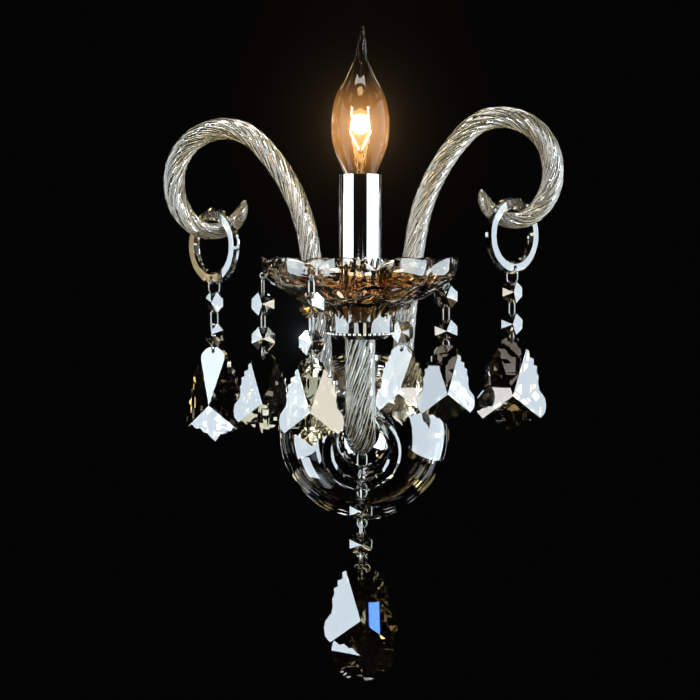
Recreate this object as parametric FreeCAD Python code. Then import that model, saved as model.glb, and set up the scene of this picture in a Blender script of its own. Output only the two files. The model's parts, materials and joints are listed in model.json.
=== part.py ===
import FreeCAD, Part
import math
import os

# Crystal wall sconce: one candle lamp on a twisted glass arm, two glass scrolls, hanging rings
# and strings of cut crystal, on a wall bracket under a chrome canopy and a glass dish.
# Millimetres. X to the right, -Y away from the wall towards the room, Z up.
# The origin is on the wall, at the centre of the canopy. "Out" is a distance from the wall.

V = FreeCAD.Vector
UP = V(0, 0, 1)
OUTWARD = V(0, -1, 0)

# ---- clearances ----
THREAD_FIT = 0.05            # a threaded tube in its hole, on the radius
SEAT_GAP = 0.3               # loose pieces and cemented glass, on the radius

# ---- wall bracket ----
BRACKET_WIDTH = 18.0
BRACKET_SHEET = 2.0
BRACKET_LIFT = 14.0          # wall to the back of the raised middle
BRACKET_MIDDLE = 44.0
SLOT_WIDTH = 5.0
SLOT_LENGTH = 10.0

# ---- threaded tubes and their nuts ----
TUBE_RADIUS = 5.0
TUBE_BORE = 3.5
NUT_FLATS = 14.0
NUT_HEIGHT = 4.0
TUBE_STICKOUT = 1.0          # thread beyond the rear nut

# ---- canopy and glass dish ----
CANOPY_DEPTH = 24.0
CANOPY_SHEET = 1.0
CANOPY_RIM = 5.0             # straight part of the rim
CANOPY_CROWN = 20.0          # radius of its flat front
WASHER_RADIUS = 13.0
WASHER_THICKNESS = 1.0
DISH_RADIUS = 58.5
CANOPY_INSET = 8.5            # dish's rim to the canopy's rim
BRACKET_INSET = 6.0           # canopy's rim to the bracket's end
SLOT_INSET = 11.0             # bracket's end to the middle of a slot
DISH_GLASS = 4.0
DISH_CROWN = 19.0            # radius of the dish's flat middle
DISH_LIP_OUT = 5.0           # wall to the dish's lip
DISH_LIP = 3.0               # width of the turned lip

# ---- hub ----
DOME_RADIUS = 18.0
DOME_DEPTH = 20.0
DOME_SKIRT = 3.0
COLUMN_STANDOFF = 10.0       # back of the hub to the column's axis
COLUMN_RADIUS = 9.4
CAVITY_RADIUS = 5.5
CAVITY_FLOOR = -4.0
CAVITY_ROOF = 15.0
ARM_HEIGHT = 9.5             # axis of the lamp arm's level run
ARM_BOSS_RADIUS = 10.5
ARM_BOSS_LENGTH = 12.0       # column axis to the end of the boss
CARRIER_HEIGHT = 26.0        # underside of the bar that carries the scrolls
CARRIER_THICKNESS = 5.0
CARRIER_WIDTH = 20.0
STUD_RADIUS = 3.0
STUD_DEPTH = 9.0             # stud in the hub
STUD_LENGTH = 40.0
FINIAL_HEIGHT = 38.0
FINIAL_FLANGE = 13.2
FINIAL_BODY = 10.4
FINIAL_NECK = 6.8

# ---- scrolls and their ferrules ----
SCROLL_SPREAD = 26.0         # centre line to each scroll's foot
SCROLL_RADIUS = 7.0
SCROLL_FOOT_RADIUS = 7.9
SCROLL_LIFT = 3.5            # the right scroll stands this much higher and the left one lower
HOOK_RADIUS = 5.3            # the bar is thinner at the bottom of the hook
SCROLL_TIP_RADIUS = 0.9
FERRULE_RADIUS = 11.2
FERRULE_HEIGHT = 10.5
FERRULE_FLOOR = 1.5
SCREW_RADIUS = 2.9
SCREW_HEAD_RADIUS = 5.0
SCREW_HEAD_HEIGHT = 3.4
# the scroll's centre line after its foot: radius and turn of each arc, always towards the same side
SCROLL_RADII = (150.0, 765.0, 120.0, 30.0, 34.0, 172.0, 34.0)
SCROLL_ANGLES = (3.0, 6.5, 35.0, 45.5, 89.5, 1.0, 27.5)
HOOK_RADII = (34.0, 19.0)     # the stretch where the bar thins
HOOK_ANGLES = (22.0, 40.0)
SCROLL_STRAIGHT = 10.0
TAIL_RADIUS = 22.0
TAIL_ANGLE = 85.0
TAIL_TAPER = 5.0              # the tail stays thick, then runs out fast

# ---- lamp arm ----
LAMP_OUT = 120.0
ARM_RADIUS = 9.1
ARM_BORE = 4.0
ARM_BEND = 26.0
ARM_FERRULE_RADIUS = 11.5
ARM_FERRULE_LENGTH = 12.0
ARM_FERRULE_FLOOR = 2.0
LUG_THICKNESS = 2.0
LUG_RADIUS = 3.2
LUG_HOLE = 1.3
LUG_DROP = 4.2               # ferrule's underside to the lug's hole, less the overlap

# ---- cap, glass cup and bobeche ----
CAP_HEIGHT = 4.0
CAP_BASE = 74.0
CAP_FOOT_RADIUS = 15.0
CAP_RIM_RADIUS = 20.0
CAP_TEETH = 40
CAP_TOOTH_RADIUS = 0.9
CAP_FLOOR = 1.5
CAP_BOSS_RADIUS = 8.5
CAP_BOSS_HEIGHT = 6.0
CUP_COLLAR_RADIUS = 20.5
CUP_COLLAR_HEIGHT = 8.0
CUP_MOUTH_RADIUS = 32.0
CUP_HEIGHT = 18.0
CUP_GLASS = 3.5
CUP_FLUTES = 20
CUP_FLUTE_RADIUS = 1.6
BOBECHE_GLASS = 3.0
BOBECHE_FLAT = 32.0
BOBECHE_RADIUS = 57.0
BOBECHE_DEPTH = 26.0         # underside to the crest of a petal
BOBECHE_WALL = ((0.907, 0.4), (0.99, 0.72))    # shares of the radius and depth
PETALS = 10
PETAL_TURN = -8.0            # the front petal's centre, from straight ahead
PETAL_NOTCH = 8.0            # depth of the notch between two petals
PIN_BELOW_NOTCH = 2.6
PIN_HOLE = 0.9
PIN_WIRE = 0.4
PIN_EYE = 1.7
PIN_HEAD = 1.3
PIN_HEAD_SETBACK = 2.8       # the glass wall leans in at the height of the pins

# ---- candle, lampholder and bulb ----
SLEEVE_RADIUS = 12.5
SLEEVE_WALL = 0.6
SLEEVE_TOP = 171.0
HOLDER_STEM_RADIUS = 7.2
HOLDER_STEM_LENGTH = 25.0
HOLDER_RADIUS = 11.2
HOLDER_BELOW_TOP = 5.0       # rim of the sleeve to the rim of the lampholder
SOCKET_DEPTH = 26.0
SHELL_LENGTH = 25.0
SHELL_WALL = 0.6
BULB_CAP_RADIUS = 6.75
BULB_CAP_LENGTH = 17.0
BULB_CAP_WALL = 0.4
BULB_FIT = 0.1
BULB_CONTACT_RADIUS = 2.5
BULB_CONTACT_HEIGHT = 2.5
BULB_GLASS_WALL = 0.8
BULB_NECK_RADIUS = 6.2
BULB_RADIUS = 17.3
BULB_HEIGHT = 87.0           # sleeve's rim to the tip of the flame
# half widths of the flame, as shares of BULB_RADIUS, at shares of BULB_HEIGHT
FLAME = ((0.52, 0.0), (0.765, 0.11), (0.95, 0.22), (1.0, 0.34), (0.95, 0.445), (0.8, 0.555),
         (0.49, 0.67), (0.25, 0.785), (0.14, 0.92))
FILAMENT_RADIUS = 0.4
NECK_SINK = 3.0              # the neck starts this much above the cap's base
STEM_FOOT = 3.0              # the stem fills the neck up to here
STEM_WAIST = 2.6             # radius
STEM_WAIST_RISE = 9.0
STEM_RADIUS = 1.9
STEM_DOME = 1.5

# ---- wiring ----
WIRE_RADIUS = 0.9
WIRE_OFFSET = 1.2            # each core beside the centre line
TERMINAL_LENGTH = 22.0
TERMINAL_WIDTH = 9.0
TERMINAL_HEIGHT = 12.0

# ---- hanging rings ----
RING_RADIUS = 25.0
RING_HOLLOW = 17.0
RING_THICKNESS = 5.0
RING_BEVEL = 1.6
RING_HOLE = 1.6
CENTRE_RING_INSET = 25.0     # from the lamp's axis back to the ring on the arm
SCROLL_RING_TURN = 44.0      # each scroll ring is turned this much from facing the room
SCROLL_RING_RISE = 1.6       # a turned ring rests beside the top of the bar, this much higher
SCROLL_RING_INSET = 1.5      # from the hook's lowest point towards its tip

# ---- strings of crystal ----
WIRE_LINK = 0.4              # radius of a link's wire
LINK_HALF = 3.0              # half width of a link
WIDE_LINK_HALF = 4.5         # of a link that goes round a ring
BEAD_WIDTH = 14.0
BEAD_THICKNESS = 6.0
BEAD_EDGE = 1.2
BEAD_HOLE = 1.3
BEAD_HOLE_SPACING = 10.0
BEAD_PITCH = 21.0
HUB_BEAD_PITCH = 20.0
LAST_LINK = 6.2
LARGE_PENDANT = 63.0
SMALL_PENDANT = 50.0
PENDANT_HOLE_DOWN = 2.9      # top edge to the hole
# outline of a leaf pendant, one half: shares of its height, out from the middle and down
LEAF = ((0.055, 0.006), (0.105, 0.036), (0.142, 0.078), (0.147, 0.126), (0.182, 0.15), (0.18, 0.21),
        (0.23, 0.23), (0.228, 0.29), (0.268, 0.31), (0.262, 0.37), (0.285, 0.42), (0.278, 0.48),
        (0.292, 0.56), (0.352, 0.64), (0.367, 0.71), (0.357, 0.79), (0.305, 0.85), (0.262, 0.83),
        (0.215, 0.875), (0.165, 0.865), (0.125, 0.91), (0.08, 0.915), (0.045, 0.96))
LEAF_APEX = 0.61
LEAF_BACK_APEX = 0.52
LEAF_STEP = (0.23, 0.23)
LEAF_SHOULDER = (0.147, 0.126)
LEAF_SIDE = (0.365, 0.71)
LEAF_CORNER = (0.305, 0.85)
# outline of the drop pendant under the hub, one half
DROP = ((0.05, 0.008), (0.09, 0.045), (0.105, 0.1), (0.135, 0.2), (0.185, 0.34), (0.25, 0.48),
        (0.305, 0.6), (0.327, 0.71), (0.312, 0.81), (0.255, 0.9), (0.16, 0.965), (0.07, 0.992))
DROP_APEX = 0.7
DROP_FACETS = 8
PENDANT_FRONT = 0.12         # share of the height: the front's apex over the middle plane
PENDANT_BACK = 0.055
PENDANT_EDGE = 0.02          # half thickness left at the outline

# ---- places worked out from the sizes above ----
scroll_arcs = tuple(zip(SCROLL_RADII, SCROLL_ANGLES))
hook_arcs = tuple(zip(HOOK_RADII, HOOK_ANGLES))
tail_arc = (TAIL_RADIUS, TAIL_ANGLE)
canopy_radius = DISH_RADIUS - CANOPY_INSET
bracket_length = 2 * (canopy_radius - BRACKET_INSET)
slot_spacing = bracket_length - 2 * SLOT_INSET
canopy_front = CANOPY_DEPTH
dish_back = canopy_front + WASHER_THICKNESS
dish_front = dish_back + DISH_GLASS
hub_back = dish_front + WASHER_THICKNESS
column_out = hub_back + COLUMN_STANDOFF
boss_end = column_out + ARM_BOSS_LENGTH
carrier_top = CARRIER_HEIGHT + CARRIER_THICKNESS
centre_ring_out = LAMP_OUT - CENTRE_RING_INSET
cap_top = CAP_BASE + CAP_HEIGHT
arm_top = cap_top - CAP_FLOOR
bobeche_base = cap_top + CUP_HEIGHT
bobeche_floor = bobeche_base + BOBECHE_GLASS
holder_base = bobeche_floor + NUT_HEIGHT
holder_top = SLEEVE_TOP - HOLDER_BELOW_TOP
socket_floor = holder_top - SOCKET_DEPTH
bulb_cap_top = holder_top
bulb_cap_base = bulb_cap_top - BULB_CAP_LENGTH
notch_height = bobeche_base + BOBECHE_DEPTH - PETAL_NOTCH
bracket_back = BRACKET_LIFT
bracket_front = BRACKET_LIFT + BRACKET_SHEET

parts = {}


def facing(azimuth):
    """Level unit vector: 0 looks out of the wall, positive angles turn towards +X."""
    a = math.radians(azimuth)
    return V(math.sin(a), -math.cos(a), 0)


def spot(x, out, z):
    return V(x, -out, z)


lamp_axis = spot(0, LAMP_OUT, 0)


def flat_outline(start, steps, base, across, along):
    """Closed wire in the plane of two directions. A step is a point, or a pair for an arc."""
    def place(p):
        return base + across * p[0] + along * p[1]

    edges = []
    here = start
    for step in steps:
        if isinstance(step[0], tuple):
            middle, end = step
            edges.append(Part.Arc(place(here), place(middle), place(end)).toShape())
        else:
            end = step
            edges.append(Part.LineSegment(place(here), place(end)).toShape())
        here = end
    if here != start:
        edges.append(Part.LineSegment(place(here), place(start)).toShape())
    return Part.Wire(edges)


def turned(start, steps, base=V(0, 0, 0), axis=UP):
    """Solid of revolution. Points are (radius, height along the axis)."""
    wire = flat_outline(start, steps, base, V(1, 0, 0), axis)
    return Part.Face(wire).revolve(base, axis, 360)


def cap_arc(radius, low, high):
    """Step for a domed end: an arc centred on the axis, from (radius, low) to (0, high)."""
    half = math.atan((high - low) / radius)
    ball = radius / math.sin(2 * half)
    return ((ball * math.sin(half), high - ball * (1 - math.cos(half))), (0, high))


def rod(radius, base, axis, length):
    return Part.makeCylinder(radius, length, base, axis)


def tube(radius, bore, base, axis, length):
    return rod(radius, base, axis, length).cut(rod(bore, base, axis, length))


def block(x0, x1, out0, out1, z0, z1):
    return Part.makeBox(x1 - x0, out1 - out0, z1 - z0, V(x0, -out1, z0))


def prism(flats, base, axis, height, sides=6):
    """Regular prism, its width measured across the flats."""
    radius = flats / 2 / math.cos(math.pi / sides)
    side = V(1, 0, 0)
    other = axis.cross(side)
    corners = []
    for i in range(sides + 1):
        a = 2 * math.pi * (i % sides) / sides
        corners.append(base + side * (radius * math.cos(a)) + other * (radius * math.sin(a)))
    return Part.Face(Part.makePolygon(corners)).extrude(axis * height)


def hex_nut(base, axis):
    return prism(NUT_FLATS, base, axis, NUT_HEIGHT).cut(
        rod(TUBE_RADIUS + THREAD_FIT, base, axis, NUT_HEIGHT))


def sweep(path, radius, direction, start):
    """Round bar along a path of runs and arcs."""
    circle = Part.Wire(Part.makeCircle(radius, start, direction))
    return Part.Wire(path).makePipeShell([circle], True, False)


def rounded_route(points, radii):
    """Edges through the points, with an arc of the given radius at each inner one."""
    edges = []
    here = points[0]
    for i, radius in enumerate(radii, start=1):
        before = (points[i] - points[i - 1]).normalize()
        after = (points[i + 1] - points[i]).normalize()
        turn = before.getAngle(after)
        cut = radius * math.tan(turn / 2)
        first = points[i] - before * cut
        last = points[i] + after * cut
        inward = (after - before).normalize()
        centre = points[i] + inward * (radius / math.cos(turn / 2))
        middle = centre - inward * radius
        edges.append(Part.LineSegment(here, first).toShape())
        edges.append(Part.Arc(first, middle, last).toShape())
        here = last
    edges.append(Part.LineSegment(here, points[-1]).toShape())
    return edges


def mirrored(shape):
    return shape.mirror(V(0, 0, 0), V(1, 0, 0))


# ---- wall fixing ----

def wall_bracket():
    """Crossbar on the wall with a raised middle, two slots and a hole for the threaded tube."""
    half = bracket_length / 2
    middle = BRACKET_MIDDLE / 2
    w = BRACKET_WIDTH / 2
    t = BRACKET_SHEET
    bar = block(-middle, middle, bracket_back, bracket_front, -w, w)
    for side in (-1, 1):
        web = sorted((side * middle, side * (middle - t)))
        foot = sorted((side * (middle - t), side * half))
        bar = bar.fuse(block(web[0], web[1], 0, bracket_front, -w, w))
        bar = bar.fuse(block(foot[0], foot[1], 0, t, -w, w))
    for side in (-1, 1):
        x = side * slot_spacing / 2
        reach = (SLOT_LENGTH - SLOT_WIDTH) / 2
        bar = bar.cut(block(x - reach, x + reach, 0, t, -SLOT_WIDTH / 2, SLOT_WIDTH / 2))
        for end in (-1, 1):
            bar = bar.cut(rod(SLOT_WIDTH / 2, spot(x + end * reach, 0, 0), OUTWARD, t))
    hole = rod(TUBE_RADIUS + THREAD_FIT, spot(0, bracket_back, 0), OUTWARD, t)
    return bar.cut(hole).removeSplitter()


def bracket_nuts():
    return [hex_nut(spot(0, bracket_back - NUT_HEIGHT, 0), OUTWARD),
            hex_nut(spot(0, bracket_front, 0), OUTWARD)]


def hub_tube():
    start = bracket_back - NUT_HEIGHT - TUBE_STICKOUT
    end = column_out - CAVITY_RADIUS
    return tube(TUBE_RADIUS, TUBE_BORE, spot(0, start, 0), OUTWARD, end - start)


def canopy():
    """Spun chrome bowl with its rim on the wall."""
    r, d, s = canopy_radius, CANOPY_DEPTH, CANOPY_SHEET
    bend = (CANOPY_CROWN + (r - CANOPY_CROWN) * 0.72, CANOPY_RIM + (d - CANOPY_RIM) * 0.62)
    outer = [(r, CANOPY_RIM), (bend, (CANOPY_CROWN, d)), (0, d)]
    inner_bend = (bend[0] - s * 0.7, bend[1] - s * 0.7)
    inner = [(0, d - s), (CANOPY_CROWN, d - s), (inner_bend, (r - s, CANOPY_RIM)), (r - s, 0)]
    bowl = turned((r, 0), outer + inner, axis=OUTWARD)
    return bowl.cut(rod(TUBE_RADIUS + SEAT_GAP, V(0, 0, 0), OUTWARD, d))


def dish_washers():
    bore = TUBE_RADIUS + SEAT_GAP
    return [tube(WASHER_RADIUS, bore, spot(0, canopy_front, 0), OUTWARD, WASHER_THICKNESS),
            tube(WASHER_RADIUS, bore, spot(0, dish_front, 0), OUTWARD, WASHER_THICKNESS)]


def wall_dish():
    """Clear glass dish over the canopy, with a turned lip near the wall."""
    g = DISH_GLASS
    lip = DISH_LIP_OUT
    inner_r = DISH_RADIUS - g
    outer_bend = (DISH_CROWN + (DISH_RADIUS - DISH_CROWN) * 0.66, lip + (dish_front - lip) * 0.7)
    inner_bend = (outer_bend[0] - g * 0.62, outer_bend[1] - g * 0.72)
    steps = [(0, dish_front), (DISH_CROWN, dish_front), (outer_bend, (DISH_RADIUS - 1, lip + DISH_LIP)),
             (DISH_RADIUS, lip + DISH_LIP), (DISH_RADIUS, lip), (inner_r, lip),
             (inner_bend, (DISH_CROWN, dish_back)), (0, dish_back)]
    bowl = turned((0, dish_back), steps, axis=OUTWARD)
    return bowl.cut(rod(TUBE_RADIUS + SEAT_GAP, spot(0, dish_back, 0), OUTWARD, g))


# ---- hub ----

def hub_body():
    """Domed boss on the dish, a short column that carries the bar, and a boss for the arm."""
    tip = hub_back + DOME_DEPTH
    skirt = hub_back + DOME_SKIRT
    steps = [(DOME_RADIUS, hub_back), (DOME_RADIUS, skirt), cap_arc(DOME_RADIUS, skirt, tip)]
    dome = turned((0, hub_back), steps, axis=OUTWARD)
    column = rod(COLUMN_RADIUS, spot(0, column_out, 0), UP, CARRIER_HEIGHT)
    boss = rod(ARM_BOSS_RADIUS, spot(0, column_out, ARM_HEIGHT), OUTWARD, ARM_BOSS_LENGTH)
    body = dome.fuse(column).fuse(boss)
    cavity = rod(CAVITY_RADIUS, spot(0, column_out, CAVITY_FLOOR), UP, CAVITY_ROOF - CAVITY_FLOOR)
    rear = rod(TUBE_RADIUS + THREAD_FIT, spot(0, hub_back, 0), OUTWARD, COLUMN_STANDOFF)
    front = rod(TUBE_BORE, spot(0, column_out, ARM_HEIGHT), OUTWARD, ARM_BOSS_LENGTH)
    stud = rod(STUD_RADIUS + THREAD_FIT, spot(0, column_out, CARRIER_HEIGHT - STUD_DEPTH), UP, STUD_DEPTH)
    return body.cut(cavity).cut(rear).cut(front).cut(stud).removeSplitter()


def arm_carrier():
    """Bar across the hub's column, with a scroll's ferrule on each end."""
    w = CARRIER_WIDTH / 2
    bar = block(-SCROLL_SPREAD, SCROLL_SPREAD, column_out - w, column_out + w, CARRIER_HEIGHT, carrier_top)
    for side in (-1, 1):
        foot = spot(side * SCROLL_SPREAD, column_out, CARRIER_HEIGHT)
        bar = bar.fuse(rod(w, foot, UP, CARRIER_THICKNESS))
    for side in (-1, 1):
        foot = spot(side * SCROLL_SPREAD, column_out, CARRIER_HEIGHT)
        bar = bar.cut(rod(SCREW_RADIUS + SEAT_GAP, foot, UP, CARRIER_THICKNESS))
    centre = spot(0, column_out, CARRIER_HEIGHT)
    return bar.cut(rod(STUD_RADIUS + SEAT_GAP, centre, UP, CARRIER_THICKNESS)).removeSplitter()


def carrier_stud():
    return rod(STUD_RADIUS, spot(0, column_out, CARRIER_HEIGHT - STUD_DEPTH), UP, STUD_LENGTH)


def hub_finial():
    """Turned nut on the stud: foot, neck, drum, flange and a domed top."""
    h = FINIAL_HEIGHT
    f = FINIAL_FLANGE
    b = FINIAL_BODY
    n = FINIAL_NECK
    steps = [(b, 0), (b, h * 0.08), (n, h * 0.13), (n, h * 0.3), (b, h * 0.38),
             (b, h * 0.62), (f, h * 0.65), (f, h * 0.73), (b - 1, h * 0.76),
             (b - 1, h * 0.9), cap_arc(b - 1, h * 0.9, h)]
    body = turned((0, 0), steps, base=spot(0, column_out, carrier_top))
    depth = STUD_LENGTH - STUD_DEPTH - CARRIER_THICKNESS
    return body.cut(rod(STUD_RADIUS + THREAD_FIT, spot(0, column_out, carrier_top), UP, depth))


def scroll_ferrules():
    """Chrome cups on the bar; each holds the foot of a scroll."""
    cups = []
    r = FERRULE_RADIUS
    h = FERRULE_HEIGHT
    bore = SCROLL_FOOT_RADIUS + SEAT_GAP
    steps = [(r - 0.9, 0), (r, 0.9), (r, h * 0.26), (r - 1.1, h * 0.34), (r - 1.1, h * 0.72),
             (r, h * 0.8), (r, h), (bore, h), (bore, FERRULE_FLOOR), (0, FERRULE_FLOOR)]
    for side in (-1, 1):
        foot = spot(side * SCROLL_SPREAD, column_out, carrier_top)
        cup = turned((0, 0), steps, base=foot)
        cups.append(cup.cut(rod(SCREW_RADIUS + THREAD_FIT, foot, UP, FERRULE_FLOOR)))
    return cups


def ferrule_screws():
    screws = []
    for side in (-1, 1):
        seat = spot(side * SCROLL_SPREAD, column_out, CARRIER_HEIGHT)
        head = rod(SCREW_HEAD_RADIUS, seat - UP * SCREW_HEAD_HEIGHT, UP, SCREW_HEAD_HEIGHT)
        slot = Part.makeBox(SCREW_HEAD_RADIUS * 2, 1.2, 1.0,
                            seat - V(SCREW_HEAD_RADIUS, 0.6, SCREW_HEAD_HEIGHT))
        shank = rod(SCREW_RADIUS, seat, UP, CARRIER_THICKNESS + FERRULE_FLOOR)
        screws.append(head.cut(slot).fuse(shank).removeSplitter())
    return screws


# ---- scrolls ----

def scroll_path():
    """Points and headings along the right scroll's centre line, in its own plane, foot at 0, 0."""
    x, z = 0.0, SCROLL_STRAIGHT
    heading = math.pi / 2
    stations = [(0.0, 0.0, heading, None), (x, z, heading, None)]
    for radius, turn in scroll_arcs + hook_arcs + (tail_arc,):
        end = heading - math.radians(turn)
        x += radius * (math.sin(heading) - math.sin(end))
        z += radius * (math.cos(end) - math.cos(heading))
        heading = end
        stations.append((x, z, heading, radius))
    return stations


def along_arc(station, radius, back):
    """Point on an arc, an angle back from its end station."""
    x, z, heading, _ = station
    h = heading + back
    px = x - radius * (math.sin(h) - math.sin(heading))
    pz = z - radius * (math.cos(heading) - math.cos(h))
    return px, pz, h


def right_scroll(lift):
    """Glass bar from a thick foot, up and over, round a hook and out to a fine upturned tip."""
    foot = spot(SCROLL_SPREAD, column_out, carrier_top + FERRULE_FLOOR)
    base = foot + UP * lift

    def at(x, z):
        return base + V(x, 0, z)

    stations = scroll_path()
    edges = []
    sweep_ends = 2 + len(scroll_arcs)
    for before, after in zip(stations[1:sweep_ends - 1], stations[2:sweep_ends]):
        radius = after[3]
        half_turn = (before[2] - after[2]) / 2
        mx, mz, _ = along_arc(after, radius, half_turn)
        edges.append(Part.Arc(at(before[0], before[1]), at(mx, mz), at(after[0], after[1])).toShape())
    start = at(stations[1][0], stations[1][1])
    body = sweep(edges, SCROLL_RADIUS, UP, start)
    neck = Part.makeCone(SCROLL_FOOT_RADIUS, SCROLL_RADIUS, SCROLL_STRAIGHT + lift, foot, UP)
    tail = Part.makeLoft(hook_sections(stations, at), True, False)
    return neck.fuse(body).fuse(tail)


def hook_sections(stations, at):
    """Circles along the hook and its tail: the bar thins, then runs out to a fine tip."""
    arcs = hook_arcs + (tail_arc,)
    ends = stations[-len(arcs):]
    hook_turn = sum(turn for _, turn in hook_arcs)
    passed = 0.0
    sections = []
    for end, (radius, turn) in zip(ends, arcs):
        is_tail = end is ends[-1]
        steps = round(turn / 10)
        for i in range(steps + 1 if is_tail else steps):
            share = i / steps
            px, pz, heading = along_arc(end, radius, math.radians(turn) * (1 - share))
            size = SCROLL_RADIUS + (HOOK_RADIUS - SCROLL_RADIUS) * (passed + turn * share) / hook_turn
            if is_tail:
                size = HOOK_RADIUS + (SCROLL_TIP_RADIUS - HOOK_RADIUS) * share ** TAIL_TAPER
            direction = V(math.cos(heading), 0, math.sin(heading))
            sections.append(Part.Wire(Part.makeCircle(size, at(px, pz), direction)))
        passed += turn
    return sections


def scroll_low_point():
    """Place of the hook's lowest point beside the right foot, before any lift."""
    x, z, _, _ = scroll_path()[-2]
    return SCROLL_SPREAD + x, carrier_top + FERRULE_FLOOR + z


# ---- lamp arm ----

def arm_route(start_out, top):
    """Centre line of the lamp arm: a level run, one bend, an upright run."""
    return [spot(0, start_out, ARM_HEIGHT), spot(0, LAMP_OUT, ARM_HEIGHT), spot(0, LAMP_OUT, top)]


def lamp_arm_ferrule():
    """Chrome cup on the hub's boss; it holds the arm and has a lug below for a string."""
    r = ARM_FERRULE_RADIUS
    length = ARM_FERRULE_LENGTH
    bore = ARM_RADIUS + SEAT_GAP
    steps = [(r - 0.9, 0), (r, 0.9), (r, length * 0.3), (r - 1.0, length * 0.38),
             (r - 1.0, length * 0.75), (r, length * 0.82), (r, length), (bore, length),
             (bore, ARM_FERRULE_FLOOR), (0, ARM_FERRULE_FLOOR)]
    base = spot(0, boss_end, ARM_HEIGHT)
    cup = turned((0, 0), steps, base=base, axis=OUTWARD)
    cup = cup.cut(rod(TUBE_BORE, base, OUTWARD, ARM_FERRULE_FLOOR))
    t = LUG_THICKNESS / 2
    lug_out = boss_end + LUG_RADIUS
    eye = rod(LUG_RADIUS, spot(-t, lug_out, lug_height()), V(1, 0, 0), LUG_THICKNESS)
    web = block(-t, t, boss_end, boss_end + 2 * LUG_RADIUS, lug_height(), ARM_HEIGHT - bore)
    hole = rod(LUG_HOLE, spot(-t, lug_out, lug_height()), V(1, 0, 0), LUG_THICKNESS)
    web = web.cut(rod(bore, base, OUTWARD, length))
    return cup.fuse(eye).fuse(web).cut(hole).removeSplitter()


def lug_height():
    return ARM_HEIGHT - ARM_FERRULE_RADIUS - LUG_DROP + LUG_RADIUS / 2


def lamp_arm():
    """Hollow glass arm from the ferrule's floor, out and up to the cap."""
    start = boss_end + ARM_FERRULE_FLOOR
    route = arm_route(start, arm_top)
    outer = sweep(rounded_route(route, [ARM_BEND]), ARM_RADIUS, OUTWARD, route[0])
    bore = sweep(rounded_route(route, [ARM_BEND]), ARM_BORE, OUTWARD, route[0])
    return outer.cut(bore)


def arm_cap():
    """Silvered cap on the arm's end: a beaded edge, a socket for the arm and a threaded boss."""
    pan = Part.makeCone(CAP_FOOT_RADIUS, CAP_RIM_RADIUS, CAP_HEIGHT, spot(0, LAMP_OUT, CAP_BASE), UP)
    boss = rod(CAP_BOSS_RADIUS, spot(0, LAMP_OUT, cap_top), UP, CAP_BOSS_HEIGHT)
    body = pan.fuse(boss)
    for i in range(CAP_TEETH):
        out = facing(360.0 * i / CAP_TEETH)
        centre = lamp_axis + out * (CAP_RIM_RADIUS - CAP_TOOTH_RADIUS) + UP * (cap_top - CAP_TOOTH_RADIUS)
        body = body.fuse(Part.makeSphere(CAP_TOOTH_RADIUS, centre))
    socket = rod(ARM_RADIUS + SEAT_GAP, spot(0, LAMP_OUT, CAP_BASE), UP, CAP_HEIGHT - CAP_FLOOR)
    passage = rod(TUBE_BORE, spot(0, LAMP_OUT, arm_top), UP, CAP_FLOOR)
    thread = rod(TUBE_RADIUS + THREAD_FIT, spot(0, LAMP_OUT, cap_top), UP, CAP_BOSS_HEIGHT)
    return body.cut(socket).cut(passage).cut(thread).removeSplitter()


def glass_cup():
    """Amber cup: a plain collar and a flared, fluted mouth, hollow inside."""
    c = CUP_COLLAR_RADIUS
    m = CUP_MOUTH_RADIUS
    h = CUP_HEIGHT
    g = CUP_GLASS
    collar = CUP_COLLAR_HEIGHT
    flare = ((c + (m - c) * 0.34, collar + (h - collar) * 0.62), (m, h))
    inner_flare = ((c + (m - c) * 0.34 - g, collar + (h - collar) * 0.62), (c - g, collar))
    steps = [(c, 0), (c, collar), flare, (m - g, h), inner_flare, (c - g, g), (0, g)]
    cup = turned((0, 0), steps, base=spot(0, LAMP_OUT, cap_top))
    cup = cup.cut(rod(CAP_BOSS_RADIUS + SEAT_GAP, spot(0, LAMP_OUT, cap_top), UP, g))
    slope = V(m - c, 0, h - collar).normalize()
    for i in range(CUP_FLUTES):
        turn = 360.0 * i / CUP_FLUTES
        flute = rod(CUP_FLUTE_RADIUS, V(c, 0, cap_top + collar) - slope, slope, h * 1.4)
        flute.rotate(V(0, 0, 0), UP, turn)
        flute.translate(lamp_axis)
        cup = cup.cut(flute)
    return cup


def lamp_tube():
    top = holder_base + HOLDER_STEM_LENGTH * 0.3
    return tube(TUBE_RADIUS, TUBE_BORE, spot(0, LAMP_OUT, cap_top), UP, top - cap_top)


# ---- bobeche ----

def notch_azimuths():
    first = PETAL_TURN - 180.0 / PETALS
    return [first + 360.0 * i / PETALS for i in range(PETALS)]


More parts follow.
